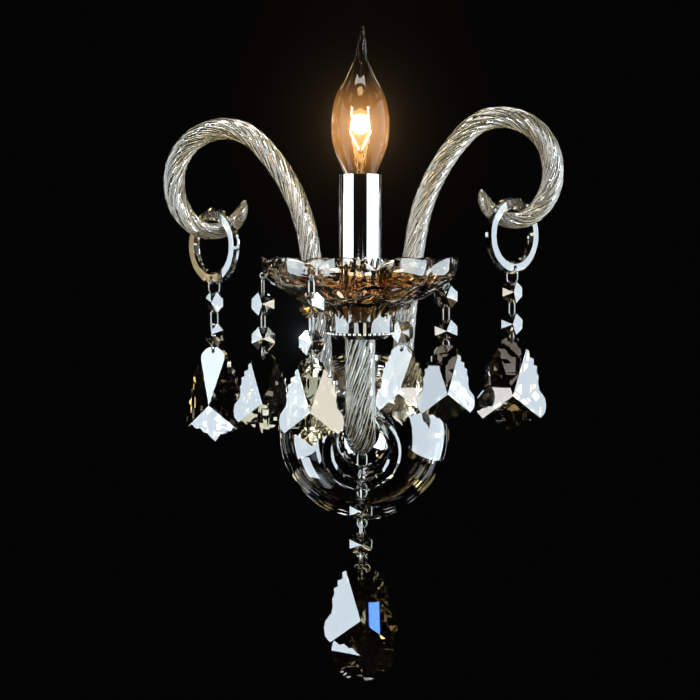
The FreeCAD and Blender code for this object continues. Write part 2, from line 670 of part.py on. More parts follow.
def bobeche():
    """Amber glass saucer with a scalloped rim of petals and a drilled hole at four notches."""
    r = BOBECHE_RADIUS
    f = BOBECHE_FLAT
    g = BOBECHE_GLASS
    d = BOBECHE_DEPTH
    (low_r, low_z), (high_r, high_z) = [(r * share, d * rise) for share, rise in BOBECHE_WALL]
    inner_wall = ((low_r - g * 0.75, low_z + g * 0.6), (f, g))
    steps = [(f, 0), ((low_r, low_z), (high_r, high_z)), (r, d), (r - g, d), (high_r - g, high_z),
             inner_wall, (0, g)]
    bowl = turned((0, 0), steps, base=spot(0, LAMP_OUT, bobeche_base))
    bowl = bowl.cut(rod(TUBE_RADIUS + SEAT_GAP, spot(0, LAMP_OUT, bobeche_base), UP, g))
    half = r * math.tan(math.pi / PETALS)
    rise = PETAL_NOTCH
    for azimuth in notch_azimuths():
        out = facing(azimuth)
        across = UP.cross(out)
        bottom = lamp_axis + UP * notch_height + out * (r * 0.7)
        steps = [((half * 0.38, rise * 0.68), (half, rise)), (half, rise + 4), (-half, rise + 4),
                 (-half, rise), ((-half * 0.38, rise * 0.68), (0, 0))]
        cutter = Part.Face(flat_outline((0, 0), steps, bottom, across, UP)).extrude(out * (r * 0.5))
        bowl = bowl.cut(cutter)
    for string in DISH_STRINGS:
        out = facing(string["azimuth"])
        bowl = bowl.cut(rod(PIN_HOLE, pin_height() + out * (r * 0.7), out, r * 0.5))
    return bowl


def pin_height():
    return lamp_axis + UP * (notch_height - PIN_BELOW_NOTCH)


def pin_eye_reach():
    """Lamp axis to the centre of a pin's eye."""
    return BOBECHE_RADIUS + SEAT_GAP + PIN_EYE + PIN_WIRE


def bobeche_pins():
    """A wire pin through each drilled notch: a ball inside and an eye outside."""
    pins = []
    for string in DISH_STRINGS:
        out = facing(string["azimuth"])
        across = UP.cross(out)
        inside = BOBECHE_RADIUS - BOBECHE_GLASS - PIN_HEAD_SETBACK - PIN_HEAD
        centre = pin_height()
        head = Part.makeSphere(PIN_HEAD, centre + out * inside)
        reach = pin_eye_reach() - PIN_EYE
        shank = rod(PIN_WIRE, centre + out * inside, out, reach - inside)
        eye = Part.makeTorus(PIN_EYE, PIN_WIRE, centre + out * pin_eye_reach(), across)
        pins.append(head.fuse(shank).fuse(eye).removeSplitter())
    return pins


def bobeche_nut():
    return hex_nut(spot(0, LAMP_OUT, bobeche_floor), UP)


# ---- candle, lampholder and bulb ----

def candle_sleeve():
    return tube(SLEEVE_RADIUS, SLEEVE_RADIUS - SLEEVE_WALL, spot(0, LAMP_OUT, bobeche_floor), UP,
                SLEEVE_TOP - bobeche_floor)


def lampholder():
    """Plastic lampholder: a stem on the threaded tube and an open socket at the top."""
    s = HOLDER_STEM_RADIUS
    r = HOLDER_RADIUS
    steps = [(s, 0), (s, HOLDER_STEM_LENGTH), (r, HOLDER_STEM_LENGTH + 3), (r, holder_top - holder_base),
             (0, holder_top - holder_base)]
    body = turned((0, 0), steps, base=spot(0, LAMP_OUT, holder_base))
    thread = rod(TUBE_RADIUS + THREAD_FIT, spot(0, LAMP_OUT, holder_base), UP, HOLDER_STEM_LENGTH * 0.4)
    passage = rod(TUBE_BORE, spot(0, LAMP_OUT, holder_base), UP, socket_floor - holder_base)
    shell_radius = BULB_CAP_RADIUS + BULB_FIT + SHELL_WALL
    socket = rod(shell_radius + THREAD_FIT, spot(0, LAMP_OUT, socket_floor), UP, SOCKET_DEPTH)
    return body.cut(thread).cut(passage).cut(socket)


def lampholder_shell():
    bore = BULB_CAP_RADIUS + BULB_FIT
    return tube(bore + SHELL_WALL, bore, spot(0, LAMP_OUT, socket_floor), UP, SHELL_LENGTH)


def lampholder_contact():
    """Centre contact on the socket's floor, standing up to the bulb's tip."""
    top = bulb_cap_base - BULB_CONTACT_HEIGHT - SEAT_GAP
    base = rod(BULB_CONTACT_RADIUS * 1.8, spot(0, LAMP_OUT, socket_floor), UP, 1.0)
    post = rod(BULB_CONTACT_RADIUS * 0.6, spot(0, LAMP_OUT, socket_floor), UP, top - socket_floor)
    return base.fuse(post).removeSplitter()


def bulb_cap():
    r = BULB_CAP_RADIUS
    w = BULB_CAP_WALL
    length = BULB_CAP_LENGTH
    steps = [(BULB_CONTACT_RADIUS, 0), (r - 1, 0.8), (r, 2.4), (r, length), (r - w, length),
             (r - w, 2.6), (r - 1.4, 1.3), (0, 1.3)]
    return turned((0, 0), steps, base=spot(0, LAMP_OUT, bulb_cap_base))


def bulb_contact():
    return rod(BULB_CONTACT_RADIUS, spot(0, LAMP_OUT, bulb_cap_base - BULB_CONTACT_HEIGHT), UP,
               BULB_CONTACT_HEIGHT)


def flame_profile(shrink, top_share):
    """Half outline of the flame as a smooth curve, in the plane of +X and the lamp's axis."""
    points = []
    for width, height in FLAME:
        points.append(V(width * BULB_RADIUS - shrink, -LAMP_OUT, SLEEVE_TOP + height * BULB_HEIGHT))
    points[-1].x = max(points[-1].x, 0.8)
    points.append(V(0, -LAMP_OUT, SLEEVE_TOP + BULB_HEIGHT * top_share))
    curve = Part.BSplineCurve()
    curve.interpolate(points)
    return curve, points


def flame_solid(shrink, top_share, neck_base):
    curve, points = flame_profile(shrink, top_share)
    neck = V(BULB_NECK_RADIUS - shrink, -LAMP_OUT, bulb_cap_top)
    foot = V(neck.x, -LAMP_OUT, neck_base)
    axis_foot = V(0, -LAMP_OUT, neck_base)
    edges = [Part.LineSegment(axis_foot, foot).toShape(),
             Part.LineSegment(foot, neck).toShape(),
             Part.LineSegment(neck, points[0]).toShape(),
             curve.toShape(),
             Part.LineSegment(points[-1], axis_foot).toShape()]
    return Part.Face(Part.Wire(edges)).revolve(lamp_axis, UP, 360)


def bulb_glass():
    """Thin glass flame on a straight neck."""
    neck_base = bulb_cap_base + NECK_SINK
    outer = flame_solid(0.0, 1.0, neck_base)
    inner = flame_solid(BULB_GLASS_WALL, 0.965, neck_base)
    return outer.cut(inner)


def bulb_stem():
    """Glass mount that seals the neck and carries the filament's wires."""
    r = BULB_NECK_RADIUS - BULB_GLASS_WALL
    base = bulb_cap_base + NECK_SINK
    rise = SLEEVE_TOP + BULB_HEIGHT * 0.17 - base
    dome = rise - STEM_DOME
    steps = [(r, 0), (r, STEM_FOOT), (STEM_WAIST, STEM_WAIST_RISE), (STEM_RADIUS, dome),
             cap_arc(STEM_RADIUS, dome, rise)]
    return turned((0, 0), steps, base=spot(0, LAMP_OUT, base))


def bulb_filament():
    """Zigzag of wire between two supports, from the stem's top."""
    low = SLEEVE_TOP + BULB_HEIGHT * 0.17
    dip = SLEEVE_TOP + BULB_HEIGHT * 0.29
    high = SLEEVE_TOP + BULB_HEIGHT * 0.43
    foot = low + SEAT_GAP
    shape = ((-0.9, foot), (-6.0, dip), (-3.4, high), (0.0, dip), (3.4, high), (6.0, dip), (0.9, foot))
    points = [spot(x, LAMP_OUT, z) for x, z in shape]
    radii = [1.6, 0.9, 0.9, 0.9, 1.6]
    direction = (points[1] - points[0]).normalize()
    return sweep(rounded_route(points, radii), FILAMENT_RADIUS, direction, points[0])


# ---- wiring ----

def terminal_block():
    """Insulated block on the rear of the bracket's middle, with two screw holes."""
    x = TERMINAL_LENGTH / 2
    low = BRACKET_WIDTH / 2
    body = block(-x, x, bracket_back - TERMINAL_WIDTH - 1, bracket_back - 1, low, low + TERMINAL_HEIGHT)
    hook = block(-x / 2, x / 2, bracket_back - 1, bracket_front, low, low + BRACKET_SHEET)
    body = body.fuse(hook)
    for side in (-1, 1):
        hole = spot(side * x / 2, bracket_back - TERMINAL_WIDTH - 1, low + TERMINAL_HEIGHT * 0.6)
        body = body.cut(rod(1.6, hole, OUTWARD, 3.0))
    return body.removeSplitter()


def supply_wires():
    """Two cores from the terminal block, through the hub and the arm, to the lampholder."""
    cores = []
    back = bracket_back - NUT_HEIGHT - TUBE_STICKOUT - 4.5
    for side in (-1, 1):
        x = side * WIRE_OFFSET
        points = [spot(x, back, BRACKET_WIDTH / 2), spot(x, back, 0), spot(x, column_out - 3.5, 0),
                  spot(x, column_out + 4.5, ARM_HEIGHT), spot(x, LAMP_OUT, ARM_HEIGHT),
                  spot(x, LAMP_OUT, socket_floor - 5)]
        radii = [4.0, 4.5, 4.5, ARM_BEND]
        cores.append(sweep(rounded_route(points, radii), WIRE_RADIUS, V(0, 0, -1), points[0]))
    return cores


# ---- hanging rings and strings ----

def placed(shape, centre, azimuth):
    """A piece made at the origin facing out of the wall, turned about Z and moved into place."""
    shape.rotate(V(0, 0, 0), UP, azimuth)
    shape.translate(centre)
    return shape


def glass_ring(centre, azimuth):
    """Bevelled glass ring with a hole drilled through its lowest point."""
    b = RING_BEVEL
    t = RING_THICKNESS / 2
    i = RING_HOLLOW
    o = RING_RADIUS
    steps = [(i + b, t), (o - b, t), (o, t - b), (o, b - t), (o - b, -t), (i + b, -t), (i, b - t), (i, t - b)]
    ring = turned((i, t - b), steps, axis=OUTWARD)
    hole = rod(RING_HOLE, V(0, t, -(i + o) / 2), OUTWARD, RING_THICKNESS)
    return placed(ring.cut(hole), centre, azimuth)


def link(top, length, azimuth, half=LINK_HALF):
    """Oval wire link in an upright plane; its top and bottom are the wire's centre."""
    straight = length / 2 - half
    edges = []
    for sign in (1, -1):
        end = V(0, 0, sign * straight)
        start_point = end + V(0, -sign * half, 0)
        finish_point = end + V(0, sign * half, 0)
        edges.append(Part.Arc(start_point, end + V(0, 0, sign * half), finish_point).toShape())
        edges.append(Part.LineSegment(finish_point, finish_point - V(0, 0, 2 * sign * straight)).toShape())
    circle = Part.Wire(Part.makeCircle(WIRE_LINK, V(0, -half, straight), V(0, 0, 1)))
    oval = Part.Wire(edges).makePipeShell([circle], True, False)
    return placed(oval, top - UP * (length / 2), azimuth)


def bead(centre, azimuth):
    """Eight-sided crystal, pointed front and back, drilled through near its top and bottom."""
    radius = BEAD_WIDTH / 2 / math.cos(math.pi / 8)
    front, back = [], []
    for i in range(8):
        a = math.pi / 8 + i * math.pi / 4
        front.append(V(radius * math.cos(a), -BEAD_EDGE / 2, radius * math.sin(a)))
        back.append(V(radius * math.cos(a), BEAD_EDGE / 2, radius * math.sin(a)))
    near = V(0, -BEAD_THICKNESS / 2, 0)
    far = V(0, BEAD_THICKNESS / 2, 0)
    faces = []
    for i in range(8):
        j = (i + 1) % 8
        for loop in ((near, front[i], front[j]), (far, back[j], back[i]),
                     (front[i], back[i], back[j], front[j])):
            faces.append(Part.Face(Part.makePolygon(list(loop) + [loop[0]])))
    crystal = Part.Solid(Part.Shell(faces))
    for side in (-1, 1):
        hole = V(0, BEAD_THICKNESS / 2, side * BEAD_HOLE_SPACING / 2)
        crystal = crystal.cut(rod(BEAD_HOLE, hole, OUTWARD, BEAD_THICKNESS))
    return placed(crystal, centre, azimuth)


def shave(body, a, b, c, outside):
    """Removes what lies past the plane through three points, on the side of a fourth."""
    normal = (b - a).cross(c - a).normalize()
    if normal.dot(outside - a) < 0:
        normal = normal * -1
    size = 4 * body.BoundBox.DiagonalLength
    slab = Part.makeBox(size, size, size, V(-size / 2, -size / 2, 0))
    slab.Placement = FreeCAD.Placement(a, FreeCAD.Rotation(UP, normal))
    return body.cut(slab)


def depth_at(a, b, c, x, z):
    """Y of the plane through three points, at x and z."""
    n = (b - a).cross(c - a)
    return a.y - (n.x * (x - a.x) + n.z * (z - a.z)) / n.y


def blank(half_outline, height):
    """Flat pendant as thick as its two apexes, its top at the origin."""
    points = [(0, 0)] + list(half_outline) + [(0, 1)] + [(-x, z) for x, z in reversed(half_outline)]
    corners = [V(x * height, PENDANT_BACK * height, -z * height) for x, z in points]
    wire = Part.makePolygon(corners + [corners[0]])
    return Part.Face(wire).extrude(V(0, -(PENDANT_FRONT + PENDANT_BACK) * height, 0))


def kite_facets(body, height, side, apex_share, shoulder, flank, corner):
    """Four broad facets from one apex: top, left, right and bottom. side is -1 in front."""
    rise = (PENDANT_FRONT if side < 0 else PENDANT_BACK) * height
    edge = PENDANT_EDGE * height
    apex = V(0, side * rise, -apex_share * height)
    outside = V(0, side * 3 * height, -apex_share * height)
    crown = [V(sign * height, side * edge, 0) for sign in (-1, 1)]
    body = shave(body, apex, crown[0], crown[1], outside)
    lower = []
    for sign in (-1, 1):
        x, z = sign * shoulder[0] * height, -shoulder[1] * height
        ridge = V(x, depth_at(apex, crown[0], crown[1], x, z), z)
        rim = V(sign * flank[0] * height, side * edge, -flank[1] * height)
        body = shave(body, apex, ridge, rim, outside)
        x, z = sign * corner[0] * height, -corner[1] * height
        lower.append(V(x, depth_at(apex, ridge, rim, x, z), z))
    return shave(body, apex, lower[0], lower[1], outside)


def fan_facets(body, height, side, reach_side, reach_up, reach_down):
    """Facets all round one apex, as steep as the outline is near."""
    rise = (PENDANT_FRONT if side < 0 else PENDANT_BACK * 1.6) * height
    edge = PENDANT_EDGE * height
    apex = V(0, side * rise, -DROP_APEX * height)
    outside = V(0, side * 3 * height, apex.z)
    for i in range(DROP_FACETS):
        a = 2 * math.pi * (i + 0.5) / DROP_FACETS
        c, s = math.cos(a), math.sin(a)
        reach_z = reach_up if s > 0 else reach_down
        reach = height / math.hypot(c / reach_side, s / reach_z)
        foot = V(c * reach, side * edge, apex.z + s * reach)
        body = shave(body, apex, foot, foot + V(-s, 0, c), outside)
    return body


def pendant(kind, hole_centre, height, azimuth):
    """Flat cut pendant, leaf or drop, hung by a hole near its top."""
    if kind == "leaf":
        body = blank(LEAF, height)
        body = kite_facets(body, height, -1, LEAF_APEX, LEAF_SHOULDER, LEAF_SIDE, LEAF_CORNER)
        body = kite_facets(body, height, 1, LEAF_BACK_APEX, LEAF_STEP, LEAF_SIDE, LEAF_CORNER)
    else:
        body = blank(DROP, height)
        body = fan_facets(body, height, -1, 0.33, DROP_APEX, 1 - DROP_APEX)
        body = fan_facets(body, height, 1, 0.33, DROP_APEX, 1 - DROP_APEX)
    hole = V(0, height, -PENDANT_HOLE_DOWN)
    body = body.cut(rod(BEAD_HOLE, hole, OUTWARD, 2 * height))
    return placed(body, hole_centre + UP * PENDANT_HOLE_DOWN, azimuth)


def add_string(name, top, first_length, turns, height, kind="leaf", half=LINK_HALF, pitch=BEAD_PITCH):
    """A string: links and beads in turn, then a pendant. turns holds each piece's azimuth in order."""
    bead_count = (len(turns) - 2) // 2
    between = pitch - BEAD_HOLE_SPACING
    links = [link(top, first_length, turns[0], half)]
    beads = []
    z = top.z - first_length
    for i in range(bead_count):
        beads.append(bead(V(top.x, top.y, z - BEAD_HOLE_SPACING / 2), turns[1 + 2 * i]))
        z -= BEAD_HOLE_SPACING
        last = i == bead_count - 1
        length = LAST_LINK if last else between
        links.append(link(V(top.x, top.y, z), length, turns[2 + 2 * i]))
        z -= length
    if abs(turns[-1] - turns[-2]) > 45:
        z += 2 * WIRE_LINK + SEAT_GAP / 3
        links.append(link(V(top.x, top.y, z), LAST_LINK, turns[-1]))
        z -= LAST_LINK
    hole = V(top.x, top.y, z)
    parts[name + "_links"] = links
    parts[name + "_beads"] = beads
    parts[name + "_pendant"] = [pendant(kind, hole, height, turns[-1])]
    pivots[name] = top
    pivots[name + "_pendant"] = hole


# azimuth: where on the saucer. first: length of the first link.
# turns: azimuths of the first link, bead, link, bead, last link, pendant
DISH_STRINGS = (
    {"name": "left_string", "azimuth": -98.0, "first": 11.4, "turns": (-8, -8, -16, -6, -12, -4)},
    {"name": "front_string", "azimuth": -26.0, "first": 9.8, "turns": (32, 6, 24, -2, 18, -6)},
    {"name": "right_string", "azimuth": 118.0, "first": 7.6, "turns": (30, 6, 34, 8, 34, 10)},
    {"name": "rear_string", "azimuth": 154.0, "first": 9.8, "turns": (28, 0, -25, -22, -20, -25)},
)
SCROLL_TURNS = {"left": (-44, -34, -40, -30, -32, -26), "right": (44, 20, 30, 8, 20, 4)}
CENTRE_TURNS = (0, 0, 12, 0, -8, 0)
HUB_TURNS = (90, 90, 90, 90, 90, 90, 90, 90, 90, 0)
pivots = {}


def hang_dish_strings():
    eye_drop = PIN_EYE - 2 * WIRE_LINK - SEAT_GAP / 3
    for string in DISH_STRINGS:
        top = pin_height() + facing(string["azimuth"]) * pin_eye_reach() - UP * eye_drop
        add_string(string["name"], top, string["first"], string["turns"], SMALL_PENDANT)


def hang_scroll_rings():
    x, z = scroll_low_point()
    hang = HOOK_RADIUS + SEAT_GAP - RING_HOLLOW + SCROLL_RING_RISE
    wide = BEAD_PITCH - BEAD_HOLE_SPACING
    for side, word in ((-1, "left"), (1, "right")):
        lift = side * SCROLL_LIFT
        centre = spot(side * (x - SCROLL_RING_INSET), column_out, z + lift + hang)
        parts[word + "_ring"] = [glass_ring(centre, side * SCROLL_RING_TURN)]
        pivots[word + "_ring"] = spot(side * x, column_out, z + lift)
        top = centre - UP * ((RING_HOLLOW + RING_RADIUS) / 2)
        add_string(word + "_scroll_string", top, wide, SCROLL_TURNS[word], LARGE_PENDANT,
                   half=WIDE_LINK_HALF)


def hang_centre_ring():
    centre = spot(0, centre_ring_out, ARM_HEIGHT + ARM_RADIUS + SEAT_GAP - RING_HOLLOW)
    parts["centre_ring"] = [glass_ring(centre, 0)]
    pivots["centre_ring"] = spot(0, centre_ring_out, ARM_HEIGHT)
    top = centre - UP * ((RING_HOLLOW + RING_RADIUS) / 2)
    add_string("centre_string", top, BEAD_PITCH - BEAD_HOLE_SPACING, CENTRE_TURNS, LARGE_PENDANT,
               half=WIDE_LINK_HALF)


def hang_hub_string():
    top = spot(0, boss_end + LUG_RADIUS, lug_height())
    add_string("hub_string", top, HUB_BEAD_PITCH - BEAD_HOLE_SPACING, HUB_TURNS, LARGE_PENDANT,
               kind="drop", pitch=HUB_BEAD_PITCH)


# ---- the whole sconce ----

parts["wall_bracket"] = [wall_bracket()]
parts["bracket_nuts"] = bracket_nuts()
parts["hub_tube"] = [hub_tube()]
parts["canopy"] = [canopy()]
parts["dish_washers"] = dish_washers()
parts["wall_dish"] = [wall_dish()]
parts["hub_body"] = [hub_body()]
parts["arm_carrier"] = [arm_carrier()]
parts["carrier_stud"] = [carrier_stud()]
parts["hub_finial"] = [hub_finial()]
parts["scroll_ferrules"] = scroll_ferrules()
parts["ferrule_screws"] = ferrule_screws()
parts["right_scroll"] = [right_scroll(SCROLL_LIFT)]
parts["left_scroll"] = [mirrored(right_scroll(-SCROLL_LIFT))]
parts["lamp_arm_ferrule"] = [lamp_arm_ferrule()]
parts["lamp_arm"] = [lamp_arm()]
parts["arm_cap"] = [arm_cap()]
parts["glass_cup"] = [glass_cup()]
parts["lamp_tube"] = [lamp_tube()]
parts["bobeche"] = [bobeche()]
parts["bobeche_pins"] = bobeche_pins()
parts["bobeche_nut"] = [bobeche_nut()]
parts["candle_sleeve"] = [candle_sleeve()]
parts["lampholder"] = [lampholder()]
parts["lampholder_shell"] = [lampholder_shell()]
parts["lampholder_contact"] = [lampholder_contact()]
parts["bulb_glass"] = [bulb_glass()]
parts["bulb_cap"] = [bulb_cap()]
parts["bulb_contact"] = [bulb_contact()]
parts["bulb_stem"] = [bulb_stem()]
parts["bulb_filament"] = [bulb_filament()]
parts["terminal_block"] = [terminal_block()]
parts["supply_wires"] = supply_wires()
hang_dish_strings()
hang_scroll_rings()
hang_centre_ring()
hang_hub_string()

os.makedirs("parts", exist_ok=True)
for name, solids in parts.items():
    shape = solids[0] if len(solids) == 1 else Part.makeCompound(solids)
    shape.exportStep("parts/" + name + ".step")

for name, point in pivots.items():
    print("pivot of %s: %.2f %.2f %.2f" % (name, point.x, point.y, point.z))
print("nodes:", len(parts))
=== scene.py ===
"""Looks of the crystal wall sconce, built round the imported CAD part.

The glass that carries twists, flutes and petals is remade here from the same centre lines and
profiles as the part. The rest of the part is shown as it is, with procedural materials.
"""

import json
import math
import random

import bmesh
import bpy
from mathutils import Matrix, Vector


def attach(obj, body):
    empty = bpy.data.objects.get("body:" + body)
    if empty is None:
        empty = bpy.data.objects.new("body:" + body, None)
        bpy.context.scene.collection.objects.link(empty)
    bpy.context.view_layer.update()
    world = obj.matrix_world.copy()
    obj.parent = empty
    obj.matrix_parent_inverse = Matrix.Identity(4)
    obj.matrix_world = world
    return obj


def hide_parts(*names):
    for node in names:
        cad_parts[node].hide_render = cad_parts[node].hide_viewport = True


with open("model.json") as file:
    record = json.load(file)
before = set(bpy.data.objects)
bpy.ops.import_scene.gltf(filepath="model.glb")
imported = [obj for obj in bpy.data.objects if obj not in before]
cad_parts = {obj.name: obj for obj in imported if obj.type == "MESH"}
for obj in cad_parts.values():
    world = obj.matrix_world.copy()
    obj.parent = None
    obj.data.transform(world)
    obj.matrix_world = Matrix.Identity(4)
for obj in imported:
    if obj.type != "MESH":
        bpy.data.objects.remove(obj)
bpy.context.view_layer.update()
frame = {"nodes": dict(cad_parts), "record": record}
nodes = frame["nodes"]
MM = 0.001

# ---- sizes shared with the part, in millimetres ----
LAMP_OUT = 120.0              # wall to the lamp's axis
COLUMN_OUT = 40.0             # wall to the plane of the scrolls
ARM_START = 54.0              # wall to the lamp arm's foot
ARM_HEIGHT = 9.5              # height of its level stretch
ARM_BEND = 26.0
ARM_TOP = 76.5
ARM_RADIUS = 9.1
ARM_BORE = 4.0
SCROLL_SPREAD = 26.0          # middle to a scroll's foot
SCROLL_FOOT = 32.5            # height of the feet
SCROLL_STRAIGHT = 10.0        # upright stretch over a foot
SCROLL_LIFT = 3.5             # it is this much longer on the right and shorter on the left
SCROLL_FOOT_RADIUS = 7.9
SCROLL_RADIUS = 7.0
HOOK_RADIUS = 5.3             # of the bar at the end of the hook
TAIL_TIP = 0.9                # and at its tip
# radius and degrees of each arc of a scroll, from the foot on
SCROLL_ARCS = ((150.0, 3.0), (765.0, 6.5), (120.0, 35.0), (30.0, 45.5), (34.0, 89.5),
               (172.0, 1.0), (34.0, 27.5))
HOOK_ARCS = ((34.0, 22.0), (19.0, 40.0))
TAIL_ARC = (22.0, 85.0)
# profiles are lists of (radius, height)
CUP_BASE = 78.0
CUP_PROFILE = ((8.8, 0), (20.5, 0), (20.5, 2), (20.5, 6), (20.5, 8), (21.6, 11), (24.4, 14.2),
               (28.0, 16.6), (32.0, 18.0), (28.5, 18.0), (24.6, 16.8), (20.9, 14.2), (18.1, 11),
               (17.0, 8), (17.0, 3.5), (8.8, 3.5))
DISH_BASE = 96.0
DISH_DEPTH = 26.0
DISH_GLASS = 3.0
DISH_BORE = 5.3
DISH_FLAT = 20.0              # radius of the flat middle
DISH_WALL = ((32.0, 0.0), (38.5, 2.0), (44.8, 5.6), (51.7, 10.4), (55.3, 15.4), (56.6, 20.0),
             (57.0, 26.0))
DISH_RIM = ((57.0, 26.0), (56.0, 26.5), (55.0, 26.4), (54.2, 25.6))
PETALS = 10
PETAL_TURN = -8.0
PETAL_NOTCH = 8.0             # depth of a notch under the petals' crests
SLEEVE_TOP = 171.0
BULB_HEIGHT = 87.0            # over the sleeve's mouth, as all heights of the bulb
BULB_RADIUS = 17.3
BULB_NECK = 6.2
BULB_FOOT = 152.0             # this one is a height in the frame
BULB_WALL = 0.5
BULB_SHOULDER = ((BULB_NECK, -12.0), (BULB_NECK, -6.0), (7.2, -2.6))
# flame as shares of the bulb's radius and height
FLAME = ((0.52, 0.0), (0.765, 0.11), (0.95, 0.22), (1.0, 0.34), (0.95, 0.445), (0.8, 0.555),
         (0.49, 0.67), (0.25, 0.785), (0.14, 0.92))
BULB_TIP = ((1.1, 84.0), (0.85, 86.0), (0.4, 86.8))
BULB_HOLLOW_TOP = 82.5
BULB_HOLLOW_TIP = 0.25        # least radius of the hollow
TIP_BEND = 1.6                # the flame's tip leans this much to the right
TIP_BEND_START = 50.0         # from this height on

# ---- forms of the cut and twisted glass, in millimetres ----
ROPE_FLUTES = 12
ROPE_DEPTH = 1.15
ROPE_SLOPE = 23.0             # degrees between the flutes and the centre line
ROPE_AROUND = 120             # points round a twisted bar
TWIST_RADIUS = 3.0            # the twist stays as on this radius where the bar is thinner
STREAK_STEP = 10.0            # length of bar to one step of the streaks
SCROLL_STEP = 1.1             # between two rings of points
SCROLL_RUN_IN = 14.0          # length over which the flutes grow at the foot
TAIL_FLUTED = 0.6             # share of the tail over which they fade
TAIL_TAPER = 5.0              # power of the taper: the tail stays thick nearly to its tip
ARM_FLUTES = 14
ARM_DEPTH = ROPE_DEPTH * 1.25
ARM_STEP = 1.0
ARM_RUN_IN = 12.0
ARM_RUN_OUT = 4.0
CUP_FLUTES = 20
CUP_FLUTE_DEPTH = 2.4
CUP_FLUTE_START = 7.5         # over the cup's base
CUP_FLUTE_RISE = 8.0
CUP_FLUTE_POWER = 1.1
CUP_FLUTE_POINTS = 12
PETAL_START = 3.5             # the petals rise from here, over the saucer's underside
PETAL_ARCH = 0.55             # power of a petal's top edge: less is squarer
PETAL_BULGE = 4.0
PETAL_BULGE_POWER = 0.6
PETAL_BULGE_RISE = 1.6        # how fast the bulge comes with the height
PETAL_CREASE = 2.0
PETAL_RIB = 2.2
PETAL_RIB_START = 21.0        # the ribs under the notches grow from this radius
PETAL_RIB_REACH = 14.0
PETAL_POINTS = 20
WALL_SHARE = 0.9              # glass of the saucer's wall against that of its floor
RIM_SINK = 0.95               # how far the inner skin comes down to the outer one at the rim
DISH_SPAN_POINTS = 4
BULB_SPAN_POINTS = 5
BULB_AROUND = 64
SHARP_EDGE = 38.0             # faces that meet at more degrees keep a crisp edge


# ---- curves and meshes ----

def mesh_piece(name, points, faces, smooth=True):
    """A mesh object from points in millimetres."""
    mesh = bpy.data.meshes.new(name)
    mesh.from_pydata([Vector(p) * MM for p in points], [], faces)
    mesh.update()
    piece = bpy.data.objects.new(name, mesh)
    bpy.context.scene.collection.objects.link(piece)
    for polygon in mesh.polygons:
        polygon.use_smooth = smooth
    return piece


def grid_faces(rows, columns, offset=0, flip=False):
    """Quads of a closed-round grid: each row is one ring of points."""
    faces = []
    for i in range(rows - 1):
        for j in range(columns):
            k = (j + 1) % columns
            a, b = offset + i * columns + j, offset + i * columns + k
            c, d = b + columns, a + columns
            faces.append((a, d, c, b) if flip else (a, b, c, d))
    return faces


def strand(angle, sharpness=0.75):
    """0 in the valley between two flutes and 1 on the crest; angle runs 0 to 2 pi over a flute."""
    return abs(math.sin(angle / 2)) ** sharpness


def centre_line(start, heading, runs, step):
    """Points, headings and lengths along a chain of runs in one plane.

    A run is (radius, degrees), turning right where the radius is positive, or (0, length) where
    it is straight.
    """
    x, z = start
    line = []
    passed = 0.0
    for radius, amount in runs:
        bend = math.radians(amount) if radius else 0.0
        length = abs(radius) * bend if radius else amount
        side = 1 if radius > 0 else -1
        count = max(2, round(length / step))
        for i in range(count + 1):
            share = i / count
            h = heading - side * bend * share
            if radius:
                px = x + radius * (math.sin(heading) - math.sin(h))
                pz = z + radius * (math.cos(h) - math.cos(heading))
            else:
                px = x + math.cos(heading) * length * share
                pz = z + math.sin(heading) * length * share
            if i < count:
                line.append((px, pz, h, passed + length * share))
        x, z, heading = px, pz, h
        passed += length
    line.append((x, z, heading, passed))
    return line


def twisted_rings(line, place, size, flutes, depth, slope):
    """Fluted and twisted rings of points round a planar centre line, and their streaks.

    size and depth give the radius and the depth of the flutes at a length along the line, and
    place turns a point in its plane and a distance from the plane into a point of the frame.
    """
    points = []
    streaks = []
    turn = 0.0
    last = 0.0
    for a, b, heading, run in line:
        radius = size(run)
        turn += math.tan(slope) * (run - last) / max(radius, TWIST_RADIUS)
        last = run
        deep = depth(run)
        for j in range(ROPE_AROUND):
            t = 2 * math.pi * j / ROPE_AROUND
            r = radius - deep * (1 - strand((t + turn) * flutes))
            out = math.cos(t) * r
            side = math.sin(t) * r
            points.append(place(a - math.sin(heading) * out, b + math.cos(heading) * out, side))
            streaks.append((math.cos(t + turn), math.sin(t + turn), run / STREAK_STEP))
    return points, streaks


def keep_streaks(piece, streaks):
    """Stores where each point lies round the twisted bar, for streaks that follow the twist."""
    layer = piece.data.attributes.new("streak", "FLOAT_VECTOR", "POINT")
    for item, value in zip(layer.data, streaks):
        item.vector = value


def capped(name, points, rows):
    """Closed bar from its rings, with a fan of faces over each end."""
    around = ROPE_AROUND
    faces = grid_faces(rows, around)
    first = [sum(p[k] for p in points[:around]) / around for k in range(3)]
    last = [sum(p[k] for p in points[-around:]) / around for k in range(3)]
    ends = (len(points), len(points) + 1)
    points = points + [first, last]
    base = (rows - 1) * around
    for j in range(around):
        k = (j + 1) % around
        faces.append((k, j, ends[0]))
        faces.append((base + j, base + k, ends[1]))
    return mesh_piece(name, points, faces)


def face_outwards(piece):
    """Turns every face of a closed piece outwards."""
    work = bmesh.new()
    work.from_mesh(piece.data)
    bmesh.ops.recalc_face_normals(work, faces=work.faces)
    work.to_mesh(piece.data)
    work.free()
    return piece


# ---- twisted glass ----

def arcs_length(arcs):
    return sum(radius * math.radians(turn) for radius, turn in arcs)


